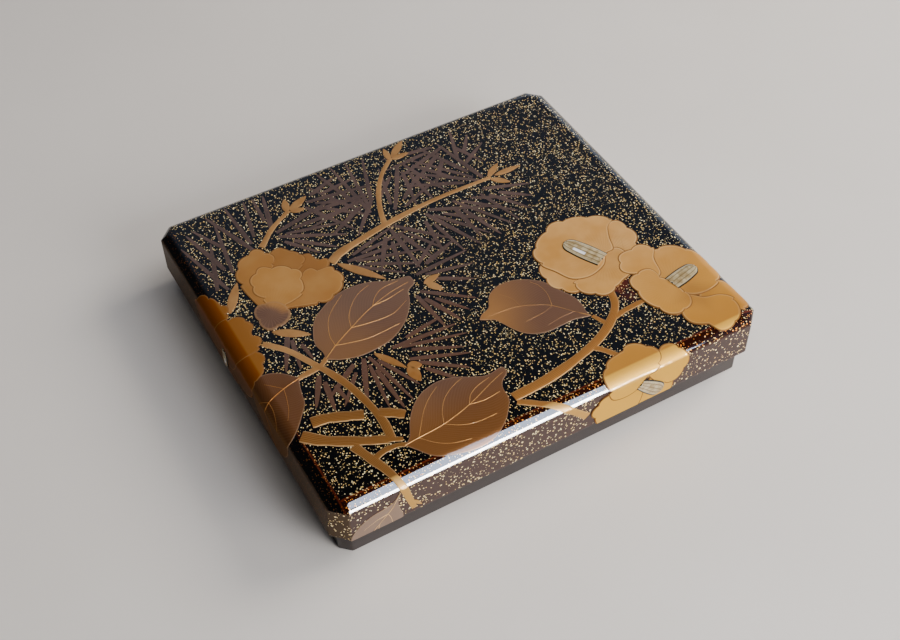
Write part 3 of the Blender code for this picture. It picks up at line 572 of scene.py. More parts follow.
def straight_rows(base, tip, half_width, rows, columns):
    """Rows of places across a straight axis."""
    t, s = np.meshgrid(np.linspace(0, 1, rows + 1), np.linspace(-1, 1, columns + 1), indexing="ij")
    axis = tip - base
    side = np.array((-axis[1], axis[0])) / np.hypot(*axis)
    across = s * np.maximum(half_width(t), 0.00004)
    return base + t[..., None] * axis + across[..., None] * side


def evenly(places, shares):
    """Places at shares of the length of a smooth path."""
    path = smooth_path(places, CURVE_STEPS)
    length = np.concatenate(([0], np.cumsum(distance(path[1:], path[:-1]))))
    return np.column_stack([np.interp(shares * length[-1], length, path[:, axis]) for axis in (0, 1)])


def leaf_rows(leaf, rows, columns):
    """Rows of places across a leaf, from its one edge over the midrib to its other edge."""
    base, tip = leaf.midrib[0], leaf.midrib[-1]
    shares = np.linspace(LEAF_END, 1 - LEAF_END, rows + 1)
    middle = evenly(leaf.midrib, shares)[:, None]
    upper = evenly([base, *leaf.upper, tip], shares)[:, None]
    lower = evenly([base, *leaf.lower, tip], shares)[:, None]
    s = np.linspace(-1, 1, columns + 1)[None, :, None]
    return middle + np.clip(s, 0, 1) * (upper - middle) + np.clip(-s, 0, 1) * (lower - middle)


# Node trees

def add_node(tree, kind, settings=None, sockets=None):
    """Node of a type, with its settings made first and then the values or links of its sockets."""
    node = tree.nodes.new(kind)
    for name, value in (settings or {}).items():
        if name == "stops":
            set_stops(node.color_ramp, value)
        else:
            setattr(node, name, value)
    for key, value in (sockets or {}).items():
        feed(tree, node.inputs[key], value)
    return node


def set_stops(ramp, stops):
    while len(ramp.elements) < len(stops):
        ramp.elements.new(1.0)
    for element, (position, colour) in zip(ramp.elements, stops):
        element.position = position
        element.color = (*colour, 1)


def feed(tree, socket, value):
    value = getattr(value, "socket", value)
    if isinstance(value, bpy.types.NodeSocket):
        tree.links.new(value, socket)
    elif socket.type == "RGBA" and len(value) == 3:
        socket.default_value = (*value, 1)
    else:
        socket.default_value = value


class Signal:
    """A number on a socket; sums, products and the like add Math nodes."""

    def __init__(self, tree, socket):
        self.tree = tree
        self.socket = socket

    def maths(self, operation, first, second):
        return Signal(self.tree, add_node(self.tree, "ShaderNodeMath", {"operation": operation},
                                          {0: first, 1: second}).outputs[0])

    def __add__(self, other):
        return self.maths("ADD", self, other)

    def __radd__(self, other):
        return self.maths("ADD", other, self)

    def __sub__(self, other):
        return self.maths("SUBTRACT", self, other)

    def __rsub__(self, other):
        return self.maths("SUBTRACT", other, self)

    def __mul__(self, other):
        return self.maths("MULTIPLY", self, other)

    def __rmul__(self, other):
        return self.maths("MULTIPLY", other, self)

    def __abs__(self):
        return self.maths("ABSOLUTE", self, 0)

    def __pow__(self, power):
        return self.maths("POWER", self, power)

    def sine(self):
        return self.maths("SINE", self, 0)

    def larger(self, other):
        return self.maths("MAXIMUM", self, other)

    def smaller(self, other):
        return self.maths("MINIMUM", self, other)

    def step(self, low, high):
        """Smooth step from 0 at `low` to 1 at `high`."""
        node = add_node(self.tree, "ShaderNodeMapRange", {"interpolation_type": "SMOOTHSTEP"},
                        {"Value": self, "From Min": low, "From Max": high})
        return Signal(self.tree, node.outputs["Result"])


class Finish:
    """One material's node tree round a Principled shader."""

    def __init__(self, name, roughness=0.4, metallic=0.0, coat=0.0, coat_roughness=0.03, specular=0.0):
        self.material = bpy.data.materials.new(name)
        self.material.use_nodes = True
        self.tree = self.material.node_tree
        self.shader = self.tree.nodes["Principled BSDF"]
        self.set("Roughness", roughness)
        self.set("Metallic", metallic)
        self.set("Coat Weight", coat)
        self.set("Coat Roughness", coat_roughness)
        self.set("Specular IOR Level", specular)

    def set(self, socket, value):
        feed(self.tree, self.shader.inputs[socket], value)

    def add(self, kind, settings=None, sockets=None):
        return add_node(self.tree, kind, settings, sockets)

    def signal(self, socket):
        return Signal(self.tree, socket)

    def place(self):
        return self.add("ShaderNodeTexCoord").outputs["Object"]

    def position(self):
        """Object coordinates, whole and as three signals."""
        place = self.place()
        return place, *self.parts(place)

    def vector(self, operation, sockets):
        return self.add("ShaderNodeVectorMath", {"operation": operation}, sockets).outputs[0]

    def parts(self, vector):
        node = self.add("ShaderNodeSeparateXYZ", None, {0: vector})
        return [self.signal(output) for output in node.outputs]

    def chart(self):
        """The piece's own chart, as three signals."""
        return self.parts(self.add("ShaderNodeAttribute", {"attribute_name": CHART}).outputs["Vector"])

    def noise(self, place, scale, detail=2.0):
        node = self.add("ShaderNodeTexNoise", None, {"Vector": place, "Scale": scale, "Detail": detail})
        return self.signal(node.outputs["Fac"])

    def mix(self, share, first, second):
        return self.add("ShaderNodeMix", {"data_type": "RGBA"}, {0: share, 6: first, 7: second}).outputs[2]

    def coats(self, colour, *layers):
        """A colour with others laid over it in turn, each by its share."""
        for share, layer in layers:
            colour = self.mix(share, colour, layer)
        return colour

    def bump(self, height):
        node = self.add("ShaderNodeBump", None,
                        {"Strength": BUMP_STRENGTH, "Distance": BUMP_DEPTH, "Height": height})
        self.set("Normal", node.outputs["Normal"])


# Colours of the lacquer and its flakes

BLACK_LACQUER = (0.0012, 0.0011, 0.0013)
RED_LACQUER = (0.075, 0.011, 0.002)
FRONT_WALL_REFLECTION = (0.042, 0.017, 0.012)
SHADED_LACQUER = (0.070, 0.045, 0.027)
TRAY_LACQUER = (0.012, 0.007, 0.006)
TRAY_CLOUD = (0.026, 0.014, 0.011)
TRAY_DUST = (0.30, 0.19, 0.09)
FLAKE_GOLD = (0.80, 0.52, 0.16)
FLAKE_PALE = (1.00, 0.86, 0.50)
FLAKE_RED = (0.80, 0.27, 0.04)

# Colours of the petals
GOLD = (0.46, 0.212, 0.050)
GOLD_LIGHT = (0.60, 0.325, 0.108)
GOLD_FRONT = (0.48, 0.212, 0.030)
GOLD_HEART_SHADE = (0.24, 0.115, 0.034)
GOLD_RIM_HIGHLIGHT = (0.70, 0.45, 0.20)
GOLD_UPPER_LIT = (0.62, 0.31, 0.080)
GOLD_SHADE_PATCH = (0.22, 0.095, 0.026)
GOLD_BUD = (0.222, 0.094, 0.027)
GOLD_LOW = (0.34, 0.138, 0.018)
GOLD_LEFT = (0.205, 0.078, 0.014)
GOLD_BEVEL_SHADE = (0.155, 0.038, 0.002)
GOLD_LIT_FRONT = (0.66, 0.355, 0.050)
GOLD_LINE_AND_SHADOW = (0.200, 0.088, 0.026)
WALL_SHADE = (0.100, 0.044, 0.011)

# Colours of the leaves and their veins
LEAF_BROWN = (0.122, 0.059, 0.033)
LEAF_DARK = (0.090, 0.045, 0.028)
LEAF_BACK = (0.126, 0.075, 0.052)
LEAF_GOLDEN = (0.270, 0.122, 0.036)
LEAF_FRONT = (0.124, 0.043, 0.006)
LEAF_LEFT = (0.080, 0.027, 0.006)
LEAF_BEVEL_SHADE = (0.065, 0.021, 0.004)
LEAF_LIT_FRONT = (0.180, 0.120, 0.085)
LEAF_STREAK = (0.30, 0.17, 0.09)
LEAF_RIM_HIGHLIGHT = (0.27, 0.165, 0.095)
VEIN_DARK = (0.32, 0.145, 0.036)
VEIN_LIGHT = (0.48, 0.25, 0.075)
VEIN_FAINT = (0.20, 0.095, 0.036)
VEIN_FAINTEST = (0.150, 0.075, 0.036)
VEIN_LEFT = (0.24, 0.085, 0.014)
VEIN_LIT_FRONT = (0.68, 0.44, 0.20)

# Colours of the branches, the bud's scale and the needles
BRANCH_DARK = (0.245, 0.115, 0.037)
BRANCH_LIGHT = (0.340, 0.170, 0.060)
BRANCH_FRONT = (0.220, 0.080, 0.012)
BRANCH_LEFT = (0.128, 0.048, 0.008)
BRANCH_LIT_FRONT = (0.52, 0.290, 0.070)
BRANCH_BRUSHED = (0.55, 0.32, 0.13)
CALYX_DARK = (0.085, 0.044, 0.030)
CALYX_LIGHT = (0.150, 0.080, 0.050)
CALYX_LINE = (0.26, 0.15, 0.09)
CALYX_RIM = (0.30, 0.165, 0.070)
NEEDLE_BROWN = (0.062, 0.038, 0.030)
NEEDLE_LIGHT = (0.088, 0.053, 0.042)
NEEDLE_FRONT = (0.098, 0.046, 0.027)
NEEDLE_GRAIN = (0.16, 0.09, 0.05)

# Colours of the inlays and the floor
SHELL_DARK = (0.34, 0.24, 0.110)
SHELL_PALE = (0.52, 0.42, 0.24)
SHELL_LINE = (0.120, 0.070, 0.026)
SHELL_BAND = (0.085, 0.045, 0.012)
SHELL_EDGE = (0.50, 0.42, 0.26)
SHELL_BORDER_AND_SHADOW = (0.030, 0.022, 0.016)
SHELL_GLINT = (0.95, 0.97, 1.00)
FLOOR_DARK = (0.62, 0.565, 0.51)
FLOOR_LIGHT = (0.68, 0.625, 0.57)

# Sizes in the finishes
FLAKE_PITCH = 0.00098
COARSE_PITCH = 1.5 * FLAKE_PITCH
TRAY_PITCH = 0.0013
RED_LINE_REACH = 0.0009
RED_LINE_CORE = 0.0002
BLOTCH_PLACE = (0.070, -0.055)
SHADE_PATCH_PLACE = (0.099, -0.078)
FAINT_PLACE = (0.012, -0.040)
FAINTEST_PLACE = (0.029, -0.0585)
GRAIN_SCALE = 3600.0
BUMP_DEPTH = 0.00002
BUMP_STRENGTH = 0.4

Flakes = namedtuple("Flakes", "inside chance tint")


# Where on the box a finish changes

def toward_front(y, start, full):
    """0 as far as one distance in front of the middle and 1 from the other on."""
    return y.step(-start, -full)


def toward_left(x, start, full):
    """0 as far as one distance left of the middle and 1 from the other on."""
    return x.step(-start, -full)


def around(x, y, middle, reach, core):
    """1 close to a place, falling to 0 at its reach."""
    return (abs(x - middle[0]) + abs(y - middle[1])).step(reach, core)


def on_front_wall(y):
    return toward_front(y, DEPTH / 2 - 0.0010, DEPTH / 2 - 0.0002)


def past_front_edge(y):
    """1 on the front bevel and wall and 0 on the flat top."""
    return toward_front(y, FLAT[1] - 0.0004, FLAT[1] + 0.0010)


def on_left_wall(x):
    """1 on the left wall, where the light hardly reaches, and 0 elsewhere."""
    return toward_left(x, LENGTH / 2 - 0.0012, LENGTH / 2 - 0.0002)


def flakes(finish, place, pitch, least, spread, seed):
    """Irregular flakes: how far each point is inside one, and two random numbers for each."""
    shifted = finish.vector("ADD", {0: place, 1: (seed, seed, seed)})
    bent = finish.add("ShaderNodeTexNoise", None, {"Vector": shifted, "Scale": 1.7 / pitch, "Detail": 1.0})
    shove = finish.vector("SCALE", {0: bent.outputs["Color"], "Scale": 0.5 * pitch})
    moved = finish.vector("ADD", {0: shifted, 1: shove})
    cells = finish.add("ShaderNodeTexVoronoi", None, {"Vector": moved, "Scale": 1 / pitch})
    dice = finish.add("ShaderNodeSeparateColor", None, {0: cells.outputs["Color"]})
    size, chance, tint = [finish.signal(output) for output in dice.outputs]
    inside = size * spread + least - finish.signal(cells.outputs["Distance"])
    return Flakes(inside.step(0.0, 0.05), chance, tint)


# Finishes

def flaked_lacquer():
    """Black lacquer strewn with gold flakes under a clear polished coat, reddish along the front bevel, with
    painted shade on the left bevel, the left wall and the front left corner, and a painted reflection on the
    front wall.
    """
    finish = Finish("flaked_lacquer", coat_roughness=0.045)
    place, x, y, z = finish.position()
    front_wall = on_front_wall(y)
    below_crease = z.step(CREASE_HEIGHT + 0.0004, CREASE_HEIGHT - 0.0004)
    corner = (x + y).step(0.0006 - CUT_LINE, 0.0002 - CUT_LINE) * below_crease
    left_bevel = toward_left(x, FLAT[0] - 0.002, FLAT[0] + 0.001) * (1 - corner)
    shaded = on_left_wall(x).larger(corner)

    drift = finish.noise(place, 200.0) * 0.9
    fine = flakes(finish, place, FLAKE_PITCH, 0.17, 0.24, 0.0)
    coarse = flakes(finish, place, COARSE_PITCH, 0.17, 0.24, 5.0)
    fine_cover = fine.inside * (fine.chance + drift).step(0.68, 0.72)
    coarse_cover = coarse.inside * (coarse.chance + drift).step(0.52, 0.56)
    cover = fine_cover + (coarse_cover - fine_cover) * front_wall.larger(corner)
    # Painted shade: few flakes show on the left bevel and wall
    cover = cover * (1 - 0.92 * left_bevel)

    # Reddish lacquer along the front edge of the top, on the front bevel and in a blotch on the top
    front_line = abs(y + FLAT[1]).step(RED_LINE_REACH, RED_LINE_CORE)
    left_line = abs(x + FLAT[0]).step(RED_LINE_REACH, RED_LINE_CORE) * toward_front(y, 0.030, 0.070)
    above_crease = z.step(CREASE_HEIGHT - 0.0002, CREASE_HEIGHT + 0.0006)
    bevel = toward_front(y, FLAT[1] - 0.0002, FLAT[1] + 0.0008) * above_crease
    blotch = around(x, y, BLOTCH_PLACE, 0.016, 0.004) * finish.noise(place, 110.0).step(0.40, 0.58)
    reddened = front_line.larger(bevel * 0.24).larger(blotch * 0.8) * (1 - left_bevel)
    # Painted reflection on the front wall; painted shade, a dim warm reflection, on the left wall and the
    # front left corner
    lacquer = finish.coats(BLACK_LACQUER,
                           (reddened.larger(left_line * 0.6), RED_LACQUER),
                           (front_wall, FRONT_WALL_REFLECTION),
                           (shaded, SHADED_LACQUER))
    # Reddened flakes: some on the front bevel, and all on the left bevel and wall as painted shade
    gold = finish.coats(FLAKE_GOLD,
                        (fine.tint, FLAKE_PALE),
                        ((bevel * fine.tint.step(0.45, 0.75)).larger(left_bevel), FLAKE_RED))
    finish.set("Base Color", finish.mix(cover, lacquer, gold))
    finish.set("Metallic", 0.08 * cover)
    finish.set("Coat Weight", 1 - 0.80 * shaded - 0.40 * front_wall * (1 - shaded))
    return finish.material


def plain_lacquer():
    """Plain dark lacquer of the tray, with a little dust of gold."""
    finish = Finish("plain_lacquer", roughness=0.5, coat=0.7, coat_roughness=0.16)
    place = finish.place()
    dust = flakes(finish, place, TRAY_PITCH, 0.10, 0.16, 3.0)
    finish.set("Base Color", finish.coats(TRAY_LACQUER,
                                          (finish.noise(place, 60.0, 3.0), TRAY_CLOUD),
                                          (dust.inside * dust.chance.step(0.80, 0.84) * 0.6, TRAY_DUST)))
    return finish.material


def petal_gold():
    """Powdered gold of the petals: a painted highlight along the rim, painted shade towards the heart and on
    the left, painted light on the upper petals and the front, and a dark line where one ends, partly drawn and
    partly painted shadow.
    """
    finish = Finish("petal_gold", coat_roughness=0.10)
    place, x, y, z = finish.position()
    way_out, angle, rim = finish.chart()
    grain = finish.noise(place, GRAIN_SCALE, 1.0)
    rays = (angle * 60 + finish.noise(place, 120.0) * 4.0).sine()
    heart = way_out.step(0.024, 0.006)
    layer = z.step(HEIGHT + PETAL_LIFT, HEIGHT + PETAL_LIFT + 4 * PETAL_STEP)
    front = past_front_edge(y)
    wall = on_left_wall(x)
    finish.set("Base Color", finish.coats(
        GOLD,
        (finish.noise(place, 48.0, 3.0).step(0.30, 0.70), GOLD_LIGHT),
        (toward_front(y, 0.025, 0.080) * 0.85, GOLD_FRONT),
        # Painted shade towards the heart
        (heart * (0.16 + 0.10 * rays), GOLD_HEART_SHADE),
        # Painted highlight along each petal's rim
        (rim.step(0.0009, 0.0003) * 0.42, GOLD_RIM_HIGHLIGHT),
        # Painted light: the upper petals are lighter
        (layer * 0.25, GOLD_UPPER_LIT),
        # Painted shade patch on the corner flower
        (around(x, y, SHADE_PATCH_PLACE, 0.018, 0.004) * 0.45, GOLD_SHADE_PATCH),
        # Darker on the half-open flower, and less so on its upper petals as painted light
        (toward_left(x, 0.030, 0.060) * (0.90 - 0.50 * layer), GOLD_BUD),
        (toward_front(y, 0.072, 0.098) * 0.60, GOLD_LOW),
        (toward_left(x, 0.088, FLAT[0] - 0.001) * 0.95, GOLD_LEFT),
        # Painted shade on the left bevel
        (toward_left(x, FLAT[0] - 0.0006, FLAT[0] + 0.0010) * 0.9, GOLD_BEVEL_SHADE),
        (wall * (0.35 + 0.55 * z.step(CREASE_HEIGHT, CREASE_HEIGHT - 0.009)), WALL_SHADE),
        # Painted light on the front bevel and wall
        (front * 0.85, GOLD_LIT_FRONT),
        # Dark line where a petal ends over another: partly a drawn line and partly painted shadow
        (rim.step(0.00002, -0.00018), GOLD_LINE_AND_SHADOW)))
    crease = z.step(CREASE_HEIGHT + 0.0012, CREASE_HEIGHT + 0.0009)
    crease = crease * z.step(CREASE_HEIGHT - 0.0002, CREASE_HEIGHT + 0.0001)
    finish.set("Roughness", 0.34 + 0.16 * grain)
    finish.set("Metallic", 0.25 - 0.20 * front)
    finish.set("Coat Weight", 0.16 - 0.08 * wall - 0.12 * front + 0.8 * front * crease)
    finish.bump(grain * 0.3 + 0.3 * rays * heart)
    return finish.material


def leaf_brown():
    """Brown powder of the leaves, faintly streaked, golden towards their left end, with a painted highlight
    along the rim, painted shade on the left bevel and wall, and painted light on the front wall.
    """
    finish = Finish("leaf_brown", metallic=0.22, coat_roughness=0.10)
    place, x, y, z = finish.position()
    along, across, rim = finish.chart()
    grain = finish.noise(place, GRAIN_SCALE, 1.0)
    streak = ((along - abs(across) * 0.32) * 230 + finish.noise(place, 150.0) * 4.0).sine()
    wall = on_left_wall(x)
    finish.set("Base Color", finish.coats(
        LEAF_BROWN,
        (0.1 + 0.8 * finish.noise(place, 32.0), LEAF_DARK),
        (y.step(-0.030, 0.005) * 0.6, LEAF_BACK),
        (along.step(0.60, 0.05) * (0.25 + 0.75 * x.step(-0.100, 0.000)), LEAF_GOLDEN),
        (toward_front(y, 0.060, FLAT[1] - 0.008) * 0.80, LEAF_FRONT),
        (toward_left(x, FLAT[0] - 0.024, FLAT[0] - 0.006) * 0.75, LEAF_LEFT),
        # Painted shade on the left bevel
        (toward_left(x, FLAT[0] - 0.001, FLAT[0] + 0.001) * 0.8, LEAF_BEVEL_SHADE),
        (wall * 0.85, WALL_SHADE),
        # Painted light on the front wall
        (on_front_wall(y) * 0.8, LEAF_LIT_FRONT),
        (streak * 0.03 + 0.06, LEAF_STREAK),
        # Painted highlight along the leaf's rim
        (rim.step(0.0006, 0.0001) * 0.55, LEAF_RIM_HIGHLIGHT)))
    finish.set("Roughness", 0.38 + 0.14 * grain)
    finish.set("Coat Weight", 0.6 - 0.57 * wall)
    finish.bump(grain * 0.3 + streak * 0.06)
    return finish.material


def vein_gold():
    """Gold of the veins, fainter on the leaf beside the right flower, with painted light on the front bevel
    and wall.
    """
    finish = Finish("vein_gold", metallic=0.20, coat=0.12, coat_roughness=0.12)
    place, x, y, z = finish.position()
    front = past_front_edge(y)
    finish.set("Base Color", finish.coats(
        VEIN_DARK,
        (finish.noise(place, 500.0), VEIN_LIGHT),
        (around(x, y, FAINT_PLACE, 0.034, 0.018) * 0.75, VEIN_FAINT),
        (around(x, y, FAINTEST_PLACE, 0.0150, 0.0105) * 0.9, VEIN_FAINTEST),
        (toward_left(x, 0.070, FLAT[0]) * (1 - front) * 0.75, VEIN_LEFT),
        # Painted light on the front bevel and wall
        (front * 0.8, VEIN_LIT_FRONT)))
    return finish.material


def branch_gold():
    """Gold of the branches and buds, with painted highlights along the edges, painted light on the front bevel
    and wall, and faint brushing along the stroke.
    """
    finish = Finish("branch_gold", coat_roughness=0.13)
    place, x, y, z = finish.position()
    across = finish.signal(finish.add("ShaderNodeAttribute", {"attribute_name": ACROSS}).outputs["Fac"])
    grain = finish.noise(place, GRAIN_SCALE, 1.0)
    cloud = finish.noise(place, 90.0, 3.0)
    brushed = (across * 21 + finish.noise(place, 160.0) * 5.0).sine()
    near_front = toward_front(y, 0.010, 0.060) * 0.9
    front = past_front_edge(y)
    finish.set("Base Color", finish.coats(
        BRANCH_DARK,
        (cloud.step(0.3, 0.7), BRANCH_LIGHT),
        (near_front, BRANCH_FRONT),
        (toward_left(x, 0.040, 0.080) * near_front, BRANCH_LEFT),
        # Painted light on the front bevel and wall
        (front * 0.8, BRANCH_LIT_FRONT),
        (brushed * 0.08 + 0.08, BRANCH_BRUSHED),
        # Painted highlight along the edges
        (abs(across).step(0.80, 0.98) * 0.35, GOLD_RIM_HIGHLIGHT)))
    finish.set("Roughness", 0.36 + 0.14 * grain)
    finish.set("Metallic", 0.28 - 0.22 * front)
    finish.set("Coat Weight", 0.22 - 0.12 * front)
    finish.bump(grain + cloud + brushed * 0.4)
    return finish.material


def calyx_brown():
    """Brown of the bud's scale, fading into the gold of the petals."""
    finish = Finish("calyx_brown", roughness=0.45, metallic=0.22, coat=0.5, coat_roughness=0.10)
    place, x, y, z = finish.position()
    way_out, angle, rim = finish.chart()
    lines = (angle * 24 + finish.noise(place, 90.0) * 6.0).sine().step(0.5, 1.0)
    toward_petals = (x + y) * sqrt(0.5) + 0.006 * finish.noise(place, 120.0)
    finish.set("Base Color", finish.coats(
        CALYX_DARK,
        (finish.noise(place, 70.0, 3.0), CALYX_LIGHT),
        (lines * 0.25, CALYX_LINE),
        (toward_petals.step(-0.0495, -0.0415) * 0.60, GOLD),
        (rim.step(0.0006, 0.0002) * 0.4, CALYX_RIM)))
    return finish.material


def needle_brown():
    """Dull brown of the pine needles, a little warmer towards the front."""
    finish = Finish("needle_brown", roughness=0.45, metallic=0.08, coat=0.9, coat_roughness=0.06)
    place, x, y, z = finish.position()
    finish.set("Base Color", finish.coats(
        NEEDLE_BROWN,
        (finish.noise(place, 60.0).step(0.35, 0.65), NEEDLE_LIGHT),
        (y.step(0.005, -0.030) * 0.8, NEEDLE_FRONT),
        (finish.noise(place, 900.0).step(0.5, 0.75) * 0.35, NEEDLE_GRAIN)))
    return finish.material


def pale_shell():
    """Translucent shell of the inlays: a few lengthwise lines, a dark rim that is partly its border and partly
    painted shadow, a paler edge inside it, and a painted glint.
    """
    finish = Finish("pale_shell", roughness=0.22, metallic=0.10, coat=0.6, coat_roughness=0.04)
    place, x, y, z = finish.position()
    along, across, rim = finish.chart()
    waver = finish.noise(place, 160.0) * 1.8
    # Painted glint on the inlays of the right and left flowers
    glint = abs(along - 0.56).step(0.17, 0.14) * abs(across - 0.30).step(0.20, 0.14) * y.step(-0.045, -0.040)
    finish.set("Base Color", finish.coats(
        SHELL_DARK,
        (finish.noise(place, 260.0).step(0.35, 0.65), SHELL_PALE),
        ((across * 13 + waver).sine().step(0.3, 0.95) * 0.60, SHELL_LINE),
        ((along * 34 + waver).sine().step(0.5, 1.0) * 0.20, SHELL_BAND),
        (rim.step(0.0013, 0.0009), SHELL_EDGE),
        # Dark rim: partly the inlay's border and partly painted shadow
        (rim.step(0.0008, 0.0005), SHELL_BORDER_AND_SHADOW),
        (glint * 0.9, SHELL_GLINT)))
    return finish.material


def floor_paper():
    finish = Finish("pale_floor", roughness=0.75, specular=0.5)
    cloud = finish.noise(finish.place(), 9.0, 3.0)
    finish.set("Base Color", finish.mix(cloud, FLOOR_DARK, FLOOR_LIGHT))
    return finish.material


# The lid and the tray

TOP_SUPPORT = 0.0006
WALL_SUPPORT = 0.0012
BEVEL_SHARE = 0.97
BEVEL_RINGS = 12


def box_ring(inset, height):
    """Points round the box at an inset, with its eight upright edges a little rounded."""
    half = np.array((LENGTH / 2 - inset, DEPTH / 2 - inset))
    leg = max(CORNER_CUT - inset * (2 - sqrt(2)), 0.001)
    corners = []
    for sx, sy in ((1, -1), (1, 1), (-1, 1), (-1, -1)):
        pair = [(sx * (half[0] - leg), sy * half[1]), (sx * half[0], sy * (half[1] - leg))]
        corners += pair if sx * sy < 0 else pair[::-1]
    corners = np.array(corners)
    shrink = min(EDGE_ROUND, leg * sqrt(2) / 3)
    ring = []
    for before, here, after in zip(np.roll(corners, 1, 0), corners, np.roll(corners, -1, 0)):
        to_before = (before - here) / np.hypot(*(before - here))
        to_after = (after - here) / np.hypot(*(after - here))
        start, end = here + to_before * shrink, here + to_after * shrink
        for t in (0.0, 0.33, 0.67, 1.0):
            ring.append((1 - t) ** 2 * start + 2 * t * (1 - t) * here + t * t * end)
    return np.column_stack((np.array(ring), np.full(len(ring), height)))


def arc(centre, radius, start, end, steps):
    """Points (inset, height) on an arc, its angles in degrees from the outward way."""
    angles = np.radians(np.linspace(start, end, steps + 1))
    return [(centre[0] - radius * cos(a), centre[1] + radius * sin(a)) for a in angles]


def swept_box(name, sections, finish):
    """Closed shell from rings round the box, capped at both ends."""
    rings = [box_ring(inset, height) for inset, height in sections]
    count = len(rings[0])
    faces = [tuple(range(count)), tuple(reversed(range((len(rings) - 1) * count, len(rings) * count)))]
    for level in range(len(rings) - 1):
        a, b = level * count, (level + 1) * count
        faces += [(a + i, b + i, b + (i + 1) % count, a + (i + 1) % count) for i in range(count)]
    mesh = bpy.data.meshes.new(name)
    mesh.from_pydata(np.vstack(rings), [], faces)
    shell = bmesh.new()
    shell.from_mesh(mesh)
    closed_mesh(shell, mesh)
    piece = finished(name, mesh, finish, sharp=60)
    return piece


def make_lid():
    """Hollow lid, from its flat top over the bevel and down the wall, then up inside to its ceiling."""
    top = [(BEVEL_WIDTH + TOP_SUPPORT, HEIGHT)]
    bevel = [(BEVEL_WIDTH - BEVEL_RADIUS * sin(a), HEIGHT - BEVEL_RADIUS * (1 - cos(a)))
             for a in np.linspace(0, BEVEL_ANGLE * BEVEL_SHARE, BEVEL_RINGS)]
    crease = [(0.00002, CREASE_HEIGHT - 0.0001), (0, CREASE_HEIGHT - 0.0005),
              (0, CREASE_HEIGHT - WALL_SUPPORT)]
    foot = [(0, LID_EDGE_HEIGHT + WALL_SUPPORT)]
    foot += arc((EDGE_ROUND, LID_EDGE_HEIGHT + EDGE_ROUND), EDGE_ROUND, 0, -90, 4)
    lip = [(LID_WALL - EDGE_ROUND / 2, LID_EDGE_HEIGHT), (LID_WALL, LID_EDGE_HEIGHT + EDGE_ROUND / 2)]
    inside = arc((LID_WALL + INNER_FILLET, CEILING_HEIGHT - INNER_FILLET), INNER_FILLET, 0, 90, 3)
    sections = top + bevel + crease + foot + lip + inside
    piece = swept_box("lid_shell", sections, flaked_lacquer())
    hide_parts("lid")


def make_tray():
    """Hollow tray, from its underside up the wall and over the rim, then down inside to its floor."""
    rim_height = CEILING_HEIGHT - REST_GAP
    inner = TRAY_INSET + TRAY_WALL
    foot = [(TRAY_INSET + EDGE_ROUND, 0.0)]
    foot += arc((TRAY_INSET + EDGE_ROUND, EDGE_ROUND), EDGE_ROUND, -90, 0, 4)[1:]
    rim = arc((TRAY_INSET + EDGE_ROUND, rim_height - EDGE_ROUND), EDGE_ROUND, 0, 90, 4)
    rim += [(inner - EDGE_ROUND / 2, rim_height), (inner, rim_height - EDGE_ROUND / 2)]
    floor = arc((inner + INNER_FILLET, TRAY_FLOOR + INNER_FILLET), INNER_FILLET, 0, -90, 3)
    piece = swept_box("tray_shell", foot + rim + floor, plain_lacquer())
    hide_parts("tray")


# Flowers, leaves and buds

# Rings of a petal: how far each lies inside the rim, and then which share of the rest of the way to the middle
PETAL_RINGS = ((-PETAL_SKIRT, 0.0), (-PETAL_SKIRT / 2, 0.0), (0.0, 0.0), (0.0002, 0.0), (0.0005, 0.0),
               (0.0009, 0.0), (0.0016, 0.0), (0.0016, 0.25), (0.0016, 0.5), (0.0016, 0.75))


def petal_lift(layer):
    """Height of a petal by its rim distance: a low skirt, a fine rolled rim, then a shallow dish."""
    level = PETAL_LIFT + layer * PETAL_STEP
    distances = (-PETAL_SKIRT, -PETAL_SKIRT / 2, 0.0, 0.0002, 0.0005, 0.0009, 0.004, 0.010)
    heights = (-0.00005, -0.00004, 0.00000, 0.00003, 0.00002, 0.00000, 0.00001, 0.00003)
    return lambda rim: level + np.interp(rim, distances, heights)


def add_petal(drawing, petal, heart):
    outline = above_lid_edge(petal_outline(petal, PETAL_POINTS))
    drawing.add(*ring_shell(outline, heart, petal_lift(petal.layer), PETAL_RINGS))


def make_flowers():
    gold = petal_gold()
    for flower in FLOWERS:
        drawing = Drawing("petals_" + flower.name)
        for petal in flower.petals:
            add_petal(drawing, petal, flower.heart)
        drawing.piece(gold)
    calyx = Drawing("calyx")
    add_petal(calyx, CALYX, spot(-93, 17))
    calyx.piece(calyx_brown())


def leaf_lift(t, s, rim):
    """Leaf height: a fine rounded rim, and two halves that swell a little on each side of the midrib."""
    swell = np.sin(pi * np.abs(s)) * np.sin(pi * t)
    return LEAF_LIFT * soft_edge(rim) + LEAF_SWELL * swell


def make_leaves():
    """Leaves whose chart runs from the left end to the right one."""
    brown = leaf_brown()
    for number, leaf in enumerate(LEAVES):
        points, faces, chart = strip_shell(leaf_rows(leaf, *LEAF_STEPS), leaf_lift)
        if leaf.midrib[0][0] > leaf.midrib[-1][0]:
            chart[:, 0] = 1 - chart[:, 0]
        drawing = Drawing("leaf_%d" % number)
        drawing.add(points, faces, chart)
        drawing.piece(brown)


def make_buds(finish):
    """Narrow buds and young leaves, each with a fold down its middle."""
    drawing = Drawing("buds")
    for bud in BUDS:
        def half(t):
            return 0.5 * bud.breadth * np.sin(pi * np.clip(t, 0, 1) ** 0.85) ** 0.8

        def lift(t, s, rim):
            return BRANCH_LIFT * soft_edge(rim) - BUD_FOLD * np.clip(1 - np.abs(s) * 4, 0, 1)

        drawing.add(*strip_shell(straight_rows(bud.base, bud.tip, half, *BUD_STEPS), lift))
    drawing.piece(finish)


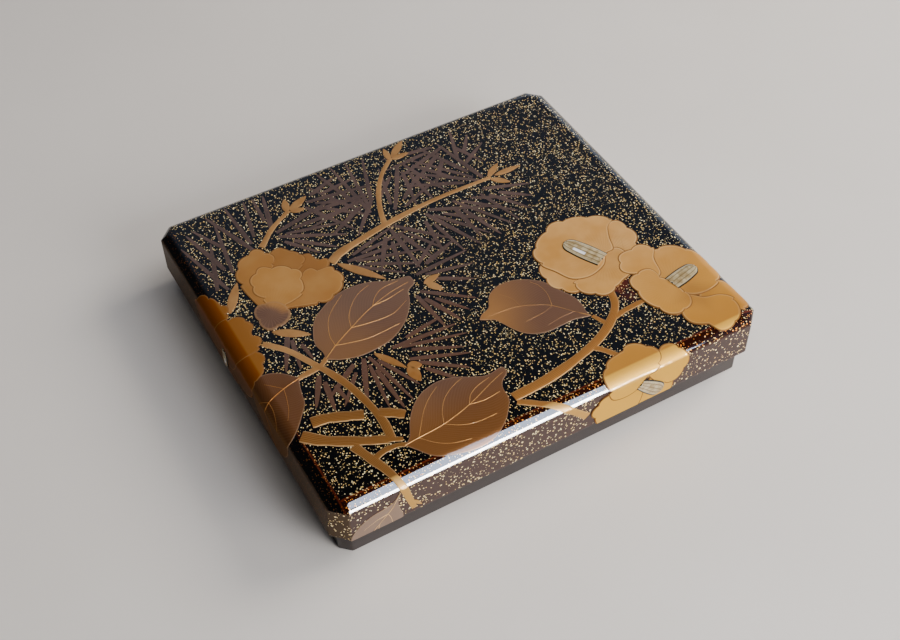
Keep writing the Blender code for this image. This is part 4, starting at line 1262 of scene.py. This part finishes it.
def make_inlays():
    """Domed tongues with fine lengthwise ridges, each let into its flower."""
    shell = pale_shell()
    for flower in FLOWERS:
        if not flower.inlay:
            continue
        inlay = flower.inlay
        length = inlay.length
        turn = radians(inlay.heading)
        end = inlay.foot + length * np.array((cos(turn), sin(turn)))
        foot_half = 0.5 * length * inlay.foot_width
        end_half = 0.5 * length * inlay.end_width

        def half(t):
            straight = foot_half + (end_half - foot_half) * t + INLAY_BULGE * length * np.sin(pi * t)
            into_end = np.clip((t * length - (length - end_half)) / end_half, 0, 1)
            return straight * np.sqrt(np.clip(1 - into_end ** 2, 0, 1))

        def lift(t, s, rim):
            dome = np.sqrt(np.clip(1 - (s * 0.96) ** 2, 0, 1)) * np.clip(rim / INLAY_RIM, 0, 1) ** 0.5
            ridges = INLAY_RIDGE * np.cos(13 * s) * np.clip(rim / 0.0012 - 0.4, 0, 1)
            return INLAY_EDGE + INLAY_DOME * dome + ridges

        drawing = Drawing("shell_" + flower.name)
        drawing.add(*strip_shell(straight_rows(inlay.foot, end, half, *INLAY_STEPS), lift))
        piece = drawing.piece(shell)
        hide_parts(inlay.name)


# Strokes and needles, made by geometry nodes in the flat drawing

def new_tree(name, inputs):
    """Geometry tree with named inputs; gives the tree and its input node."""
    tree = bpy.data.node_groups.new(name, "GeometryNodeTree")
    tree.interface.new_socket("Geometry", in_out="INPUT", socket_type="NodeSocketGeometry")
    tree.interface.new_socket("Geometry", in_out="OUTPUT", socket_type="NodeSocketGeometry")
    for label, kind in inputs:
        tree.interface.new_socket(label, in_out="INPUT", socket_type=kind)
    return tree, tree.nodes.new("NodeGroupInput")


def grown(name, source, tree, values):
    """Plain mesh that a geometry tree makes from an object's data."""
    guide = bpy.data.objects.new(name + "_guide", source)
    bpy.context.scene.collection.objects.link(guide)
    modifier = guide.modifiers.new(name, "NODES")
    modifier.node_group = tree
    for item in tree.interface.items_tree:
        if item.in_out == "INPUT" and item.name in values:
            modifier[item.identifier] = values[item.name]
    bpy.context.view_layer.update()
    depsgraph = bpy.context.evaluated_depsgraph_get()
    mesh = bpy.data.meshes.new_from_object(guide.evaluated_get(depsgraph))
    mesh.name = name
    bpy.data.objects.remove(guide)
    return mesh


def flattened(tree, curve, flatness):
    """Cross-section squashed to a flatness."""
    squash = add_node(tree, "ShaderNodeCombineXYZ", None, {"X": 1.0, "Y": flatness, "Z": 1.0})
    return add_node(tree, "GeometryNodeTransform", None, {"Geometry": curve, "Scale": squash.outputs[0]})


def swept(tree, curve, section, half_width):
    """Closed tube along a curve that lies flat."""
    upright = add_node(tree, "GeometryNodeSetCurveNormal", {"mode": "Z_UP"}, {"Curve": curve})
    return add_node(tree, "GeometryNodeCurveToMesh", None,
                    {"Curve": upright.outputs["Curve"], "Profile Curve": section, "Scale": half_width,
                     "Fill Caps": True})


def end_tree(tree, geometry, finish):
    """Real geometry with its finish, as the tree's output."""
    real = add_node(tree, "GeometryNodeRealizeInstances", None, {"Geometry": geometry})
    painted = add_node(tree, "GeometryNodeSetMaterial", None,
                       {"Geometry": real.outputs["Geometry"], "Material": finish})
    add_node(tree, "NodeGroupOutput", None, {"Geometry": painted.outputs["Geometry"]})


def stroke_tree():
    """Flattened closed tube along each path, as wide as the path's radius says."""
    tree, inputs = new_tree("brush_strokes", [("Segment", "NodeSocketFloat"), ("Flatness", "NodeSocketFloat"),
                                              ("Corner", "NodeSocketFloat"), ("Corner steps", "NodeSocketInt"),
                                              ("Finish", "NodeSocketMaterial")])
    spaced = add_node(tree, "GeometryNodeResampleCurve", {"mode": "LENGTH"},
                      {"Curve": inputs.outputs["Geometry"], "Length": inputs.outputs["Segment"]})
    bar = add_node(tree, "GeometryNodeCurvePrimitiveQuadrilateral", None, {"Width": 2.0, "Height": 2.0})
    rounded = add_node(tree, "GeometryNodeFilletCurve", {"mode": "POLY"},
                       {"Curve": bar.outputs["Curve"], "Count": inputs.outputs["Corner steps"],
                        "Radius": inputs.outputs["Corner"], "Limit Radius": True})
    section = flattened(tree, rounded.outputs["Curve"], inputs.outputs["Flatness"])
    position = add_node(tree, "GeometryNodeInputPosition")
    where = add_node(tree, "ShaderNodeSeparateXYZ", None, {0: position.outputs[0]})
    marked = add_node(tree, "GeometryNodeStoreNamedAttribute", {"data_type": "FLOAT", "domain": "POINT"},
                      {"Geometry": section.outputs["Geometry"], "Name": ACROSS, "Value": where.outputs["X"]})
    radius = add_node(tree, "GeometryNodeInputRadius")
    tube = swept(tree, spaced.outputs["Curve"], marked.outputs["Geometry"], radius.outputs["Radius"])
    end_tree(tree, tube.outputs["Mesh"], inputs.outputs["Finish"])
    return tree


def paths_data(name, paths):
    """Curve data of poly paths, each a list of places and of half widths."""
    data = bpy.data.curves.new(name, "CURVE")
    data.dimensions = "3D"
    for places, widths in paths:
        spline = data.splines.new("POLY")
        spline.points.add(len(places) - 1)
        for point, place, width in zip(spline.points, places, widths):
            point.co = (place[0], place[1], 0, 1)
            point.radius = width
    return data


def strokes(name, paths, tree, finish, segment, flatness, corner, lift):
    """Flat strokes along paths, raised by a lift."""
    mesh = grown(name, paths_data(name, paths), tree,
                 {"Segment": segment, "Flatness": flatness, "Corner": corner, "Corner steps": 3,
                  "Finish": finish})
    change_points(mesh, lambda points: points + np.array((0, 0, lift)))
    return bent_piece(name, mesh, finish)


def make_branches(tree, gold):
    """Branches and stalks, their edges a little uneven as brushed ones are."""
    paths = []
    for branch in BRANCHES:
        places = smooth_path(branch.path, STROKE_STEPS)
        share = np.linspace(0, 1, len(places))
        width = branch.start_width + (branch.end_width - branch.start_width) * share
        wobble = 1 + 0.07 * np.sin(share * 15 + branch.path[0][0] * 900) + 0.04 * np.sin(share * 31)
        paths.append((places, 0.5 * width * wobble))
    strokes("branches", paths, tree, gold, segment=0.0012, flatness=0.10, corner=0.8, lift=0.00012)


def vein(places, start_width):
    """Path of a vein and its half widths, narrowing to its end."""
    path = smooth_path(places, STROKE_STEPS)
    return path, np.linspace(0.5 * start_width, 0.5 * VEIN_END, len(path))


def make_veins(tree, gold):
    """Midrib and side veins of each leaf, in raised gold lines that lie on the leaf."""
    for number, leaf in enumerate(LEAVES):
        short_of_tip = leaf.midrib[-2] + 0.8 * (leaf.midrib[-1] - leaf.midrib[-2])
        paths = [vein([*leaf.midrib[:-1], short_of_tip], MIDRIB_WIDTH)]
        paths += [vein(places, VEIN_WIDTH) for places in leaf.veins]
        strokes("veins_%d" % number, paths, tree, gold, segment=0.0008, flatness=0.55, corner=0.9,
                lift=LEAF_LIFT + LEAF_SWELL / 2 + VEIN_RISE)


def needle_tree():
    """Tapered needles from points that carry their heading and length."""
    tree, inputs = new_tree("needles", [("Width", "NodeSocketFloat"), ("Flatness", "NodeSocketFloat"),
                                        ("Lift", "NodeSocketFloat"), ("Step", "NodeSocketFloat"),
                                        ("Seed", "NodeSocketInt"), ("Finish", "NodeSocketMaterial")])

    def attribute(name):
        return Signal(tree, add_node(tree, "GeometryNodeInputNamedAttribute", {"data_type": "FLOAT"},
                                     {"Name": name}).outputs[0])

    line = add_node(tree, "GeometryNodeCurvePrimitiveLine", None, {"End": (1.0, 0.0, 0.0)})
    spaced = add_node(tree, "GeometryNodeResampleCurve", None,
                      {"Curve": line.outputs["Curve"], "Count": NEEDLE_POINTS})
    place = Signal(tree, add_node(tree, "GeometryNodeSplineParameter").outputs["Factor"])
    widening = place * 1.6 + 0.60
    taper = widening.smaller(1.0) * (1.01 - place) ** 0.38
    half = taper * Signal(tree, inputs.outputs["Width"]) * 0.5
    circle = add_node(tree, "GeometryNodeCurvePrimitiveCircle", None, {"Resolution": 6, "Radius": 1.0})
    section = flattened(tree, circle.outputs["Curve"], inputs.outputs["Flatness"])
    needle = swept(tree, spaced.outputs["Curve"], section.outputs["Geometry"], half)
    rotation = add_node(tree, "ShaderNodeCombineXYZ", None, {"Z": attribute("heading")})
    narrow, broad = NEEDLE_BREADTHS
    breadth = add_node(tree, "FunctionNodeRandomValue", None,
                       {2: narrow, 3: broad, "Seed": inputs.outputs["Seed"]})
    size = add_node(tree, "ShaderNodeCombineXYZ", None,
                    {"X": attribute("length"), "Y": breadth.outputs[1], "Z": 1.0})
    placed = add_node(tree, "GeometryNodeInstanceOnPoints", None,
                      {"Points": inputs.outputs["Geometry"], "Instance": needle.outputs["Mesh"],
                       "Rotation": rotation.outputs[0], "Scale": size.outputs[0]})
    order = Signal(tree, add_node(tree, "GeometryNodeInputIndex").outputs[0])
    height = order * Signal(tree, inputs.outputs["Step"]) + Signal(tree, inputs.outputs["Lift"])
    move = add_node(tree, "ShaderNodeCombineXYZ", None, {"Z": height})
    raised = add_node(tree, "GeometryNodeTranslateInstances", None,
                      {"Instances": placed.outputs["Instances"], "Translation": move.outputs[0],
                       "Local Space": False})
    end_tree(tree, raised.outputs["Instances"], inputs.outputs["Finish"])
    return tree


def make_needles():
    """Needles of every tuft, which start by turns nearer to its foot and farther from it."""
    brown = needle_brown()
    pairs = [(tuft.foot, tip) for tuft in TUFTS for tip in tuft.tips]
    ways = np.array([tip - foot for foot, tip in pairs])
    reach = np.hypot(*ways.T)
    gap = NEEDLE_GAP * (0.5 + np.arange(len(pairs)) % 3 / 2)
    starts = np.array([foot for foot, tip in pairs]) + ways * (gap / reach)[:, None]
    data = bpy.data.meshes.new("needle_points")
    data.from_pydata([(*start, 0.0) for start in starts], [], [])
    for label, values in (("heading", np.arctan2(ways[:, 1], ways[:, 0])), ("length", reach - gap)):
        data.attributes.new(label, "FLOAT", "POINT").data.foreach_set("value", values)
    mesh = grown("needles", data, needle_tree(),
                 {"Width": NEEDLE_WIDTH, "Flatness": 0.03, "Lift": NEEDLE_LIFT, "Step": NEEDLE_STEP, "Seed": 7,
                  "Finish": brown})
    bent_piece("needles", mesh, brown)


# Stage

FLOOR_HALF = 1.6
LIGHT_TARGET = Vector((0, 0, 0.03))

# The room's colour by the height of the direction, from the horizon at 0 to overhead at 1
ROOM = ((0.00, (0.60, 0.60, 0.60)), (0.10, (0.56, 0.57, 0.60)), (0.20, (0.29, 0.32, 0.39)),
        (0.45, (0.26, 0.30, 0.38)), (0.66, (0.26, 0.31, 0.42)), (0.74, (0.19, 0.23, 0.31)),
        (0.80, (0.05, 0.052, 0.06)), (0.86, (0.02, 0.02, 0.025)))
DARK_SIDE = (0.02, 0.02, 0.02)

# The camera of the photograph, solved from the box's edges
SENSOR_WIDTH = 36.0
LENS = 53.3635
AZIMUTH = radians(-29.2277)
ELEVATION = radians(47.9386)
ROLL = radians(-0.8167)
CAMERA_DISTANCE = 0.7173917
CAMERA_RIGHT = -0.0000152
CAMERA_UP = 0.0008939


def make_floor():
    corners = [(-FLOOR_HALF, -FLOOR_HALF, 0), (FLOOR_HALF, -FLOOR_HALF, 0), (FLOOR_HALF, FLOOR_HALF, 0),
               (-FLOOR_HALF, FLOOR_HALF, 0)]
    mesh = bpy.data.meshes.new("floor")
    mesh.from_pydata(corners, [], [(0, 1, 2, 3)])
    mesh.materials.append(floor_paper())
    floor = bpy.data.objects.new("floor", mesh)
    bpy.context.scene.collection.objects.link(floor)


def add_light(name, place, size, power, colour=(1, 1, 1), glossy=True, diffuse=True):
    """Soft rectangular light aimed at the box."""
    data = bpy.data.lights.new(name, "AREA")
    data.shape = "RECTANGLE"
    data.size, data.size_y = size
    data.energy = power
    data.color = colour
    light = bpy.data.objects.new(name, data)
    light.location = place
    light.rotation_euler = (LIGHT_TARGET - Vector(place)).to_track_quat("-Z", "Y").to_euler()
    light.visible_glossy = glossy
    light.visible_diffuse = diffuse
    bpy.context.scene.collection.objects.link(light)


def make_light():
    """Dim room, pale near the horizon and dark on the left, soft light from the right and the front, and a
    window in front and a pale wall behind that only the gloss shows."""
    world = bpy.data.worlds.new("room")
    world.use_nodes = True
    tree = world.node_tree
    direction = add_node(tree, "ShaderNodeTexCoord").outputs["Generated"]
    parts = add_node(tree, "ShaderNodeSeparateXYZ", None, {0: direction}).outputs
    sky = add_node(tree, "ShaderNodeValToRGB", {"stops": ROOM}, {"Fac": parts["Z"]})
    to_left = Signal(tree, parts["X"]).step(0.15, -0.25)
    seen = add_node(tree, "ShaderNodeMix", {"data_type": "RGBA"},
                    {0: to_left * 0.93, 6: sky.outputs["Color"], 7: DARK_SIDE})
    feed(tree, tree.nodes["Background"].inputs["Color"], seen.outputs[2])
    tree.nodes["Background"].inputs["Strength"].default_value = 1.0
    bpy.context.scene.world = world
    add_light("key_right", (1.25, -0.10, 0.95), (0.9, 0.7), 27, (1.0, 0.97, 0.92), glossy=False)
    add_light("front_fill", (0.55, -1.25, 0.70), (0.9, 0.7), 17, (1.0, 0.98, 0.95), glossy=False)
    add_light("top_fill", (0.10, -0.10, 1.6), (1.4, 1.4), 8, (1.0, 0.98, 0.96), glossy=False)
    add_light("pale_wall", (1.00, 0.85, 0.40), (1.00, 0.62), 2.2, (0.72, 0.83, 1.0), diffuse=False)
    add_light("window_low", (0.28, -1.18, 0.67), (0.66, 0.52), 280, (1.0, 0.98, 0.97), diffuse=False)
    add_light("window_high", (0.28, -0.61, 1.12), (0.66, 1.19), 62, (0.66, 0.78, 1.0), diffuse=False)


def make_camera():
    """Camera that looks down at the box from the front left, rolled a little."""
    data = bpy.data.cameras.new("camera")
    data.sensor_width = SENSOR_WIDTH
    data.lens = LENS
    camera = bpy.data.objects.new("camera", data)
    back = Vector((sin(AZIMUTH) * cos(ELEVATION), -cos(AZIMUTH) * cos(ELEVATION), sin(ELEVATION)))
    right = Vector((0, 0, 1)).cross(back).normalized()
    up = back.cross(right)
    turned_right = right * cos(ROLL) + up * sin(ROLL)
    turned_up = up * cos(ROLL) - right * sin(ROLL)
    place = back * CAMERA_DISTANCE + turned_right * CAMERA_RIGHT + turned_up * CAMERA_UP
    turn = Matrix((turned_right, turned_up, back)).transposed().to_4x4()
    camera.matrix_world = Matrix.Translation(place) @ turn
    bpy.context.scene.collection.objects.link(camera)
    bpy.context.scene.camera = camera


make_camera()
make_floor()
make_light()
make_lid()
make_tray()
make_needles()
make_flowers()
make_leaves()
bark = branch_gold()
brush = stroke_tree()
make_branches(brush, bark)
make_buds(bark)
make_veins(brush, vein_gold())
make_inlays()
